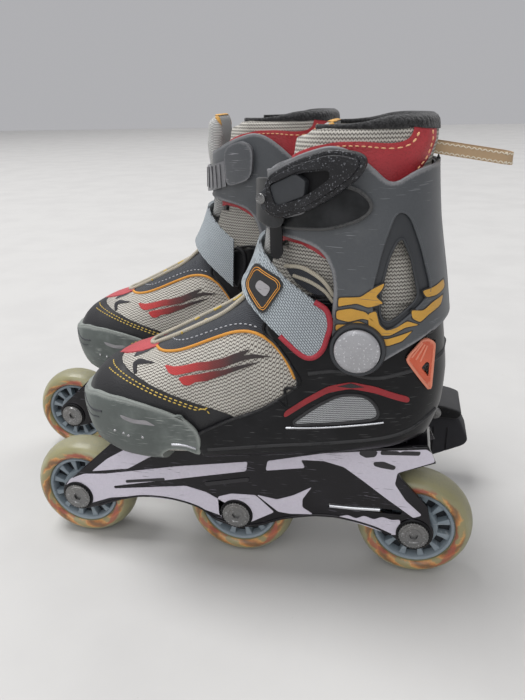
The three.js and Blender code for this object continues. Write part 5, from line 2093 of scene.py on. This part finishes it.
    def _axle(self, end: str, x: float) -> None:
        """One axle bolt with knurled heads and sockets.

        Args:
            end: which axle.
            x: its place along the skate.
        """
        head = self.half + 0.3
        seat = turned([(8.2, head - 0.2), (10.6, head - 0.2), (10.8, head + 0.4), (10.2, head + 0.9),
                       (9.4, head + 0.9), (8.2, head + 0.4)],
                      (x, self.axle), 40)
        Fitting(f"axle_seat_{end}", on_both_sides(seat), "boot", BLACK_PLAIN).fit()
        rim = []
        for i in range(60):
            turn = math.pi * i / 30
            radius = 9.3 if i % 2 else 8.7
            rim.append((x + radius * math.cos(turn), self.axle + radius * math.sin(turn)))
        knurl = prism([rim], head, head + 1.9)
        socket = [(x + 2.9 * math.cos(math.pi * i / 3),
                   self.axle + 2.9 * math.sin(math.pi * i / 3)) for i in range(6)]
        knurl = combine(knurl, (Cut.AWAY, prism([socket], head + 0.5, FAR)))
        face = turned([(3.4, head + 1.6), (8.1, head + 1.6), (7.7, head + 2.2), (5.2, head + 2.2),
                       (4.8, head + 1.95),
                       (3.4, head + 1.95)],
                      (x, self.axle), 40)
        shank = turned([(0, -head), (4, -head), (4, head), (0, head)], (x, self.axle), 20, closed=False)
        heads = on_both_sides(joined(knurl, face))
        Fitting(f"axle_bolt_{end}", joined(heads, shank), "boot", STEEL, (f"axle_{end}",), sharp=30,
                centre=(x, 0, self.axle)).fit()


@dataclass
class Wheel:
    """One wheel: tyre with its printed ring, spoked hub and bearings."""

    end: str
    x: float
    z: float = 36.0
    spokes: int = 12
    section: Sequence[Pair] = (
        (25.1, 9.4), (26.3, 11.3), (28, 12), (30, 11.7), (31.8, 10.6), (33.4, 8.8), (34.7, 6.4), (35.6, 3.7),
        (36, 1.2),
    )

    def build(self) -> None:
        """Builds and fits the wheel's pieces."""
        body = f"wheel_{self.end}"
        at = (self.x, self.z)
        centre = (self.x, 0.0, self.z)
        profile = [*self.section, *((r, -y) for r, y in reversed(self.section))]
        tyre = turned(profile, at, 96)
        Fitting(f"tyre_body_{self.end}", tyre, body, TYRE, (f"tyre_{self.end}",), centre=centre,
                sharp=60).fit()
        film = [(25.4, 10.1), (26.3, 11.45), (28, 12.15), (30, 11.85), (31.5, 11.0), (31.3, 10.7), (28, 11.6),
                (26, 10)]
        ring = turned(film, at, 72)
        Fitting(f"tyre_print_{self.end}", on_both_sides(ring), body, TYRE_PRINT, centre=centre,
                sharp=60).fit()
        self._hub(body, at, centre)
        for side in BOTH:
            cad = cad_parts.get(f"{side.value}_bearings_{self.end}")
            if cad is None:
                continue
            for slot in cad.material_slots:
                slot.material = BEARING_CAD.material()

    def _hub(self, body: str, at: Pair, centre: Triple) -> None:
        """The spoked hub.

        Args:
            body: the wheel's body.
            at: x and z of its axis.
            centre: the axis's place.
        """
        outer = turned([(22.3, 8.6), (23.0, 9.6), (24.4, 10.0), (25.0, 9.3), (25.0, -9.3), (24.4, -10.0),
                        (23.0, -9.6), (22.3, -8.6)], at, 72)
        inner = turned([(11.1, 9.0), (12.0, 9.4), (14.4, 9.2), (15.0, 8.2), (15.0, -8.2), (14.4, -9.2),
                        (12.0, -9.4),
                        (11.1, -9.0)], at, 48)
        blades = []
        for i in range(self.spokes):
            blade = prism([[(13, -1.1), (17, -1.3), (23.2, -2.3), (23.2, 2.3), (17, 1.3), (13, 1.1)]], 3.0,
                          8.4, 0.45)
            bmesh.ops.rotate(blade, verts=blade.verts, cent=(0, 0, 0),
                             matrix=Matrix.Rotation(2 * math.pi * (i + 0.5) / self.spokes, 3, "Y"))
            bmesh.ops.translate(blade, verts=blade.verts, vec=(at[0], 0, at[1]))
            blades.append(on_both_sides(blade))
        Fitting(f"hub_rim_{self.end}", joined(outer, inner, *blades), body, HUB_BLUE, (f"hub_{self.end}",),
                centre=centre).fit()
        # dark disc between the spoke sets: painted shade deep inside the hub
        web = turned([(11.5, 3.2), (23, 3.2), (23, -3.2), (11.5, -3.2)], at, 48)
        Fitting(f"hub_web_{self.end}", web, body, HUB_SHADE, centre=centre).fit()


@dataclass
class Brake:
    """The heel brake of the right skate."""

    bracket: Outline = ((-112, 96), (-152, 82), (-202, 70.5), (-208, 68), (-205.5, 62), (-160, 62),
                        (-150, 74),
                        (-124, 76), (-112, 80))
    pad: Outline = ((-160.5, 61.6), (-205.7, 61.6), (-214.5, 43), (-212, 38), (-172, 18.5), (-163, 30))

    def build(self) -> None:
        """Builds and fits the brake's pieces."""
        outline = rounded(self.bracket, 3)
        nest = prism([((-149, 0), (-90, 0), (-90, 130), (-149, 130))], -16.3, 16.3)
        arm = combine(prism([outline], -19, 19, 1.2), (Cut.AWAY, nest))
        Fitting("brake_arm", arm, "boot", BLACK_SHELL, ("brake_bracket",), (Side.RIGHT,), edge=outline).fit()
        pad_edge = rounded(self.pad, 4)
        grooves = [((x - 0.8, 10), (x - 0.8, 52), (x + 0.8, 52), (x + 0.8, 10)) for x in (-178, -188, -198)]
        pad = combine(prism([pad_edge], -14, 14, 1.6), (Cut.AWAY, prism(grooves, 12.6, FAR)),
                      (Cut.AWAY, prism(grooves, -FAR, -12.6)))
        Fitting("brake_block", pad, "boot", RUBBER, ("brake_pad",), (Side.RIGHT,), edge=pad_edge).fit()
        bolt = turned([(0, 19), (4.6, 19), (4.6, 20.6), (3.8, 21.2), (0, 21.2)], (-188, 67), 24, closed=False)
        Fitting("brake_bolt", on_both_sides(bolt), "boot", STEEL, (), (Side.RIGHT,)).fit()


# ---- Studio ------------------------------------------------------------------------------------------------


@dataclass
class Studio:
    """The floor, the lights and the camera."""

    eye: Triple = (-0.125224, 0.401395, 0.288783)
    yaw: float = 0.2259005
    pitch: float = 0.3824313
    roll: float = -0.0247015
    lens: float = 32.547

    def build(self) -> None:
        """Sets up the floor, lights and camera."""
        self._camera()
        self._floor()
        self._lamp("key", (2.2, -0.2, 5.4), (0, 0, 0.05), 3.0, 290)
        self._lamp("fill", (0.6, 6.0, 4.4), (0, 0, 0.12), 6.4, 190)
        self._lamp("back", (-2.8, -5.2, 4.8), (0, 0, 0.15), 5.6, 80)
        world = bpy.data.worlds.new("studio_air")
        world.use_nodes = True
        world.node_tree.nodes["Background"].inputs["Color"].default_value = (0.83, 0.83, 0.86, 1)
        world.node_tree.nodes["Background"].inputs["Strength"].default_value = 0.52
        bpy.context.scene.world = world
        bpy.context.scene.view_settings.view_transform = "Standard"

    def _camera(self) -> None:
        """The camera, at the given viewing angle."""
        level_way = math.cos(self.pitch)
        forward = Vector((math.sin(self.yaw) * level_way, -math.cos(self.yaw) * level_way,
                          -math.sin(self.pitch)))
        right = forward.cross(Vector((0, 0, 1))).normalized()
        up = right.cross(forward)
        level, tilt = math.cos(self.roll), math.sin(self.roll)
        turned_right, turned_up = right * level + up * tilt, up * level - right * tilt
        data = bpy.data.cameras.new("camera")
        data.lens = self.lens
        data.sensor_width = 36
        data.dof.use_dof = False
        camera = bpy.data.objects.new("camera", data)
        turn = Matrix((turned_right, turned_up, -forward)).transposed().to_4x4()
        camera.matrix_world = Matrix.Translation(self.eye) @ turn
        bpy.context.scene.collection.objects.link(camera)
        bpy.context.scene.camera = camera

    @staticmethod
    def _floor() -> None:
        """A plain pale floor."""
        shape = bmesh.new()
        bmesh.ops.create_grid(shape, x_segments=2, y_segments=2, size=6)
        floor = to_object(shape, "floor")
        floor.data.materials.append(Ground("pale_floor", Slot.SHELL).material())

    @staticmethod
    def _lamp(name: str, spot: Triple, aim: Triple, size: float, power: float) -> None:
        """One soft area light.

        Args:
            name: its name.
            spot: its place.
            aim: where it points.
            size: its width.
            power: its strength in watts.
        """
        data = bpy.data.lights.new(name, "AREA")
        data.size = size
        data.energy = power
        lamp = bpy.data.objects.new(name, data)
        lamp.location = spot
        lamp.rotation_mode = "QUATERNION"
        lamp.rotation_quaternion = (Vector(aim) - Vector(spot)).to_track_quat("-Z", "Y")
        bpy.context.scene.collection.objects.link(lamp)


def main() -> None:
    """Builds every sub-assembly in order."""
    logging.basicConfig(level=logging.INFO, format="%(message)s")
    Studio().build()
    for part in (
        Shell(), ToeBox(), Upper(), Collar(), Tongue(), Cuff(), Buckle(), InstepStrap(), PullLoop(),
        Chassis(),
        Wheel("front", 112.5), Wheel("middle", 0.0), Wheel("rear", -112.5), Brake(),
    ):
        LOG.info("building the %s", type(part).__name__)
        part.build()


if __name__ == "__main__":
    main()
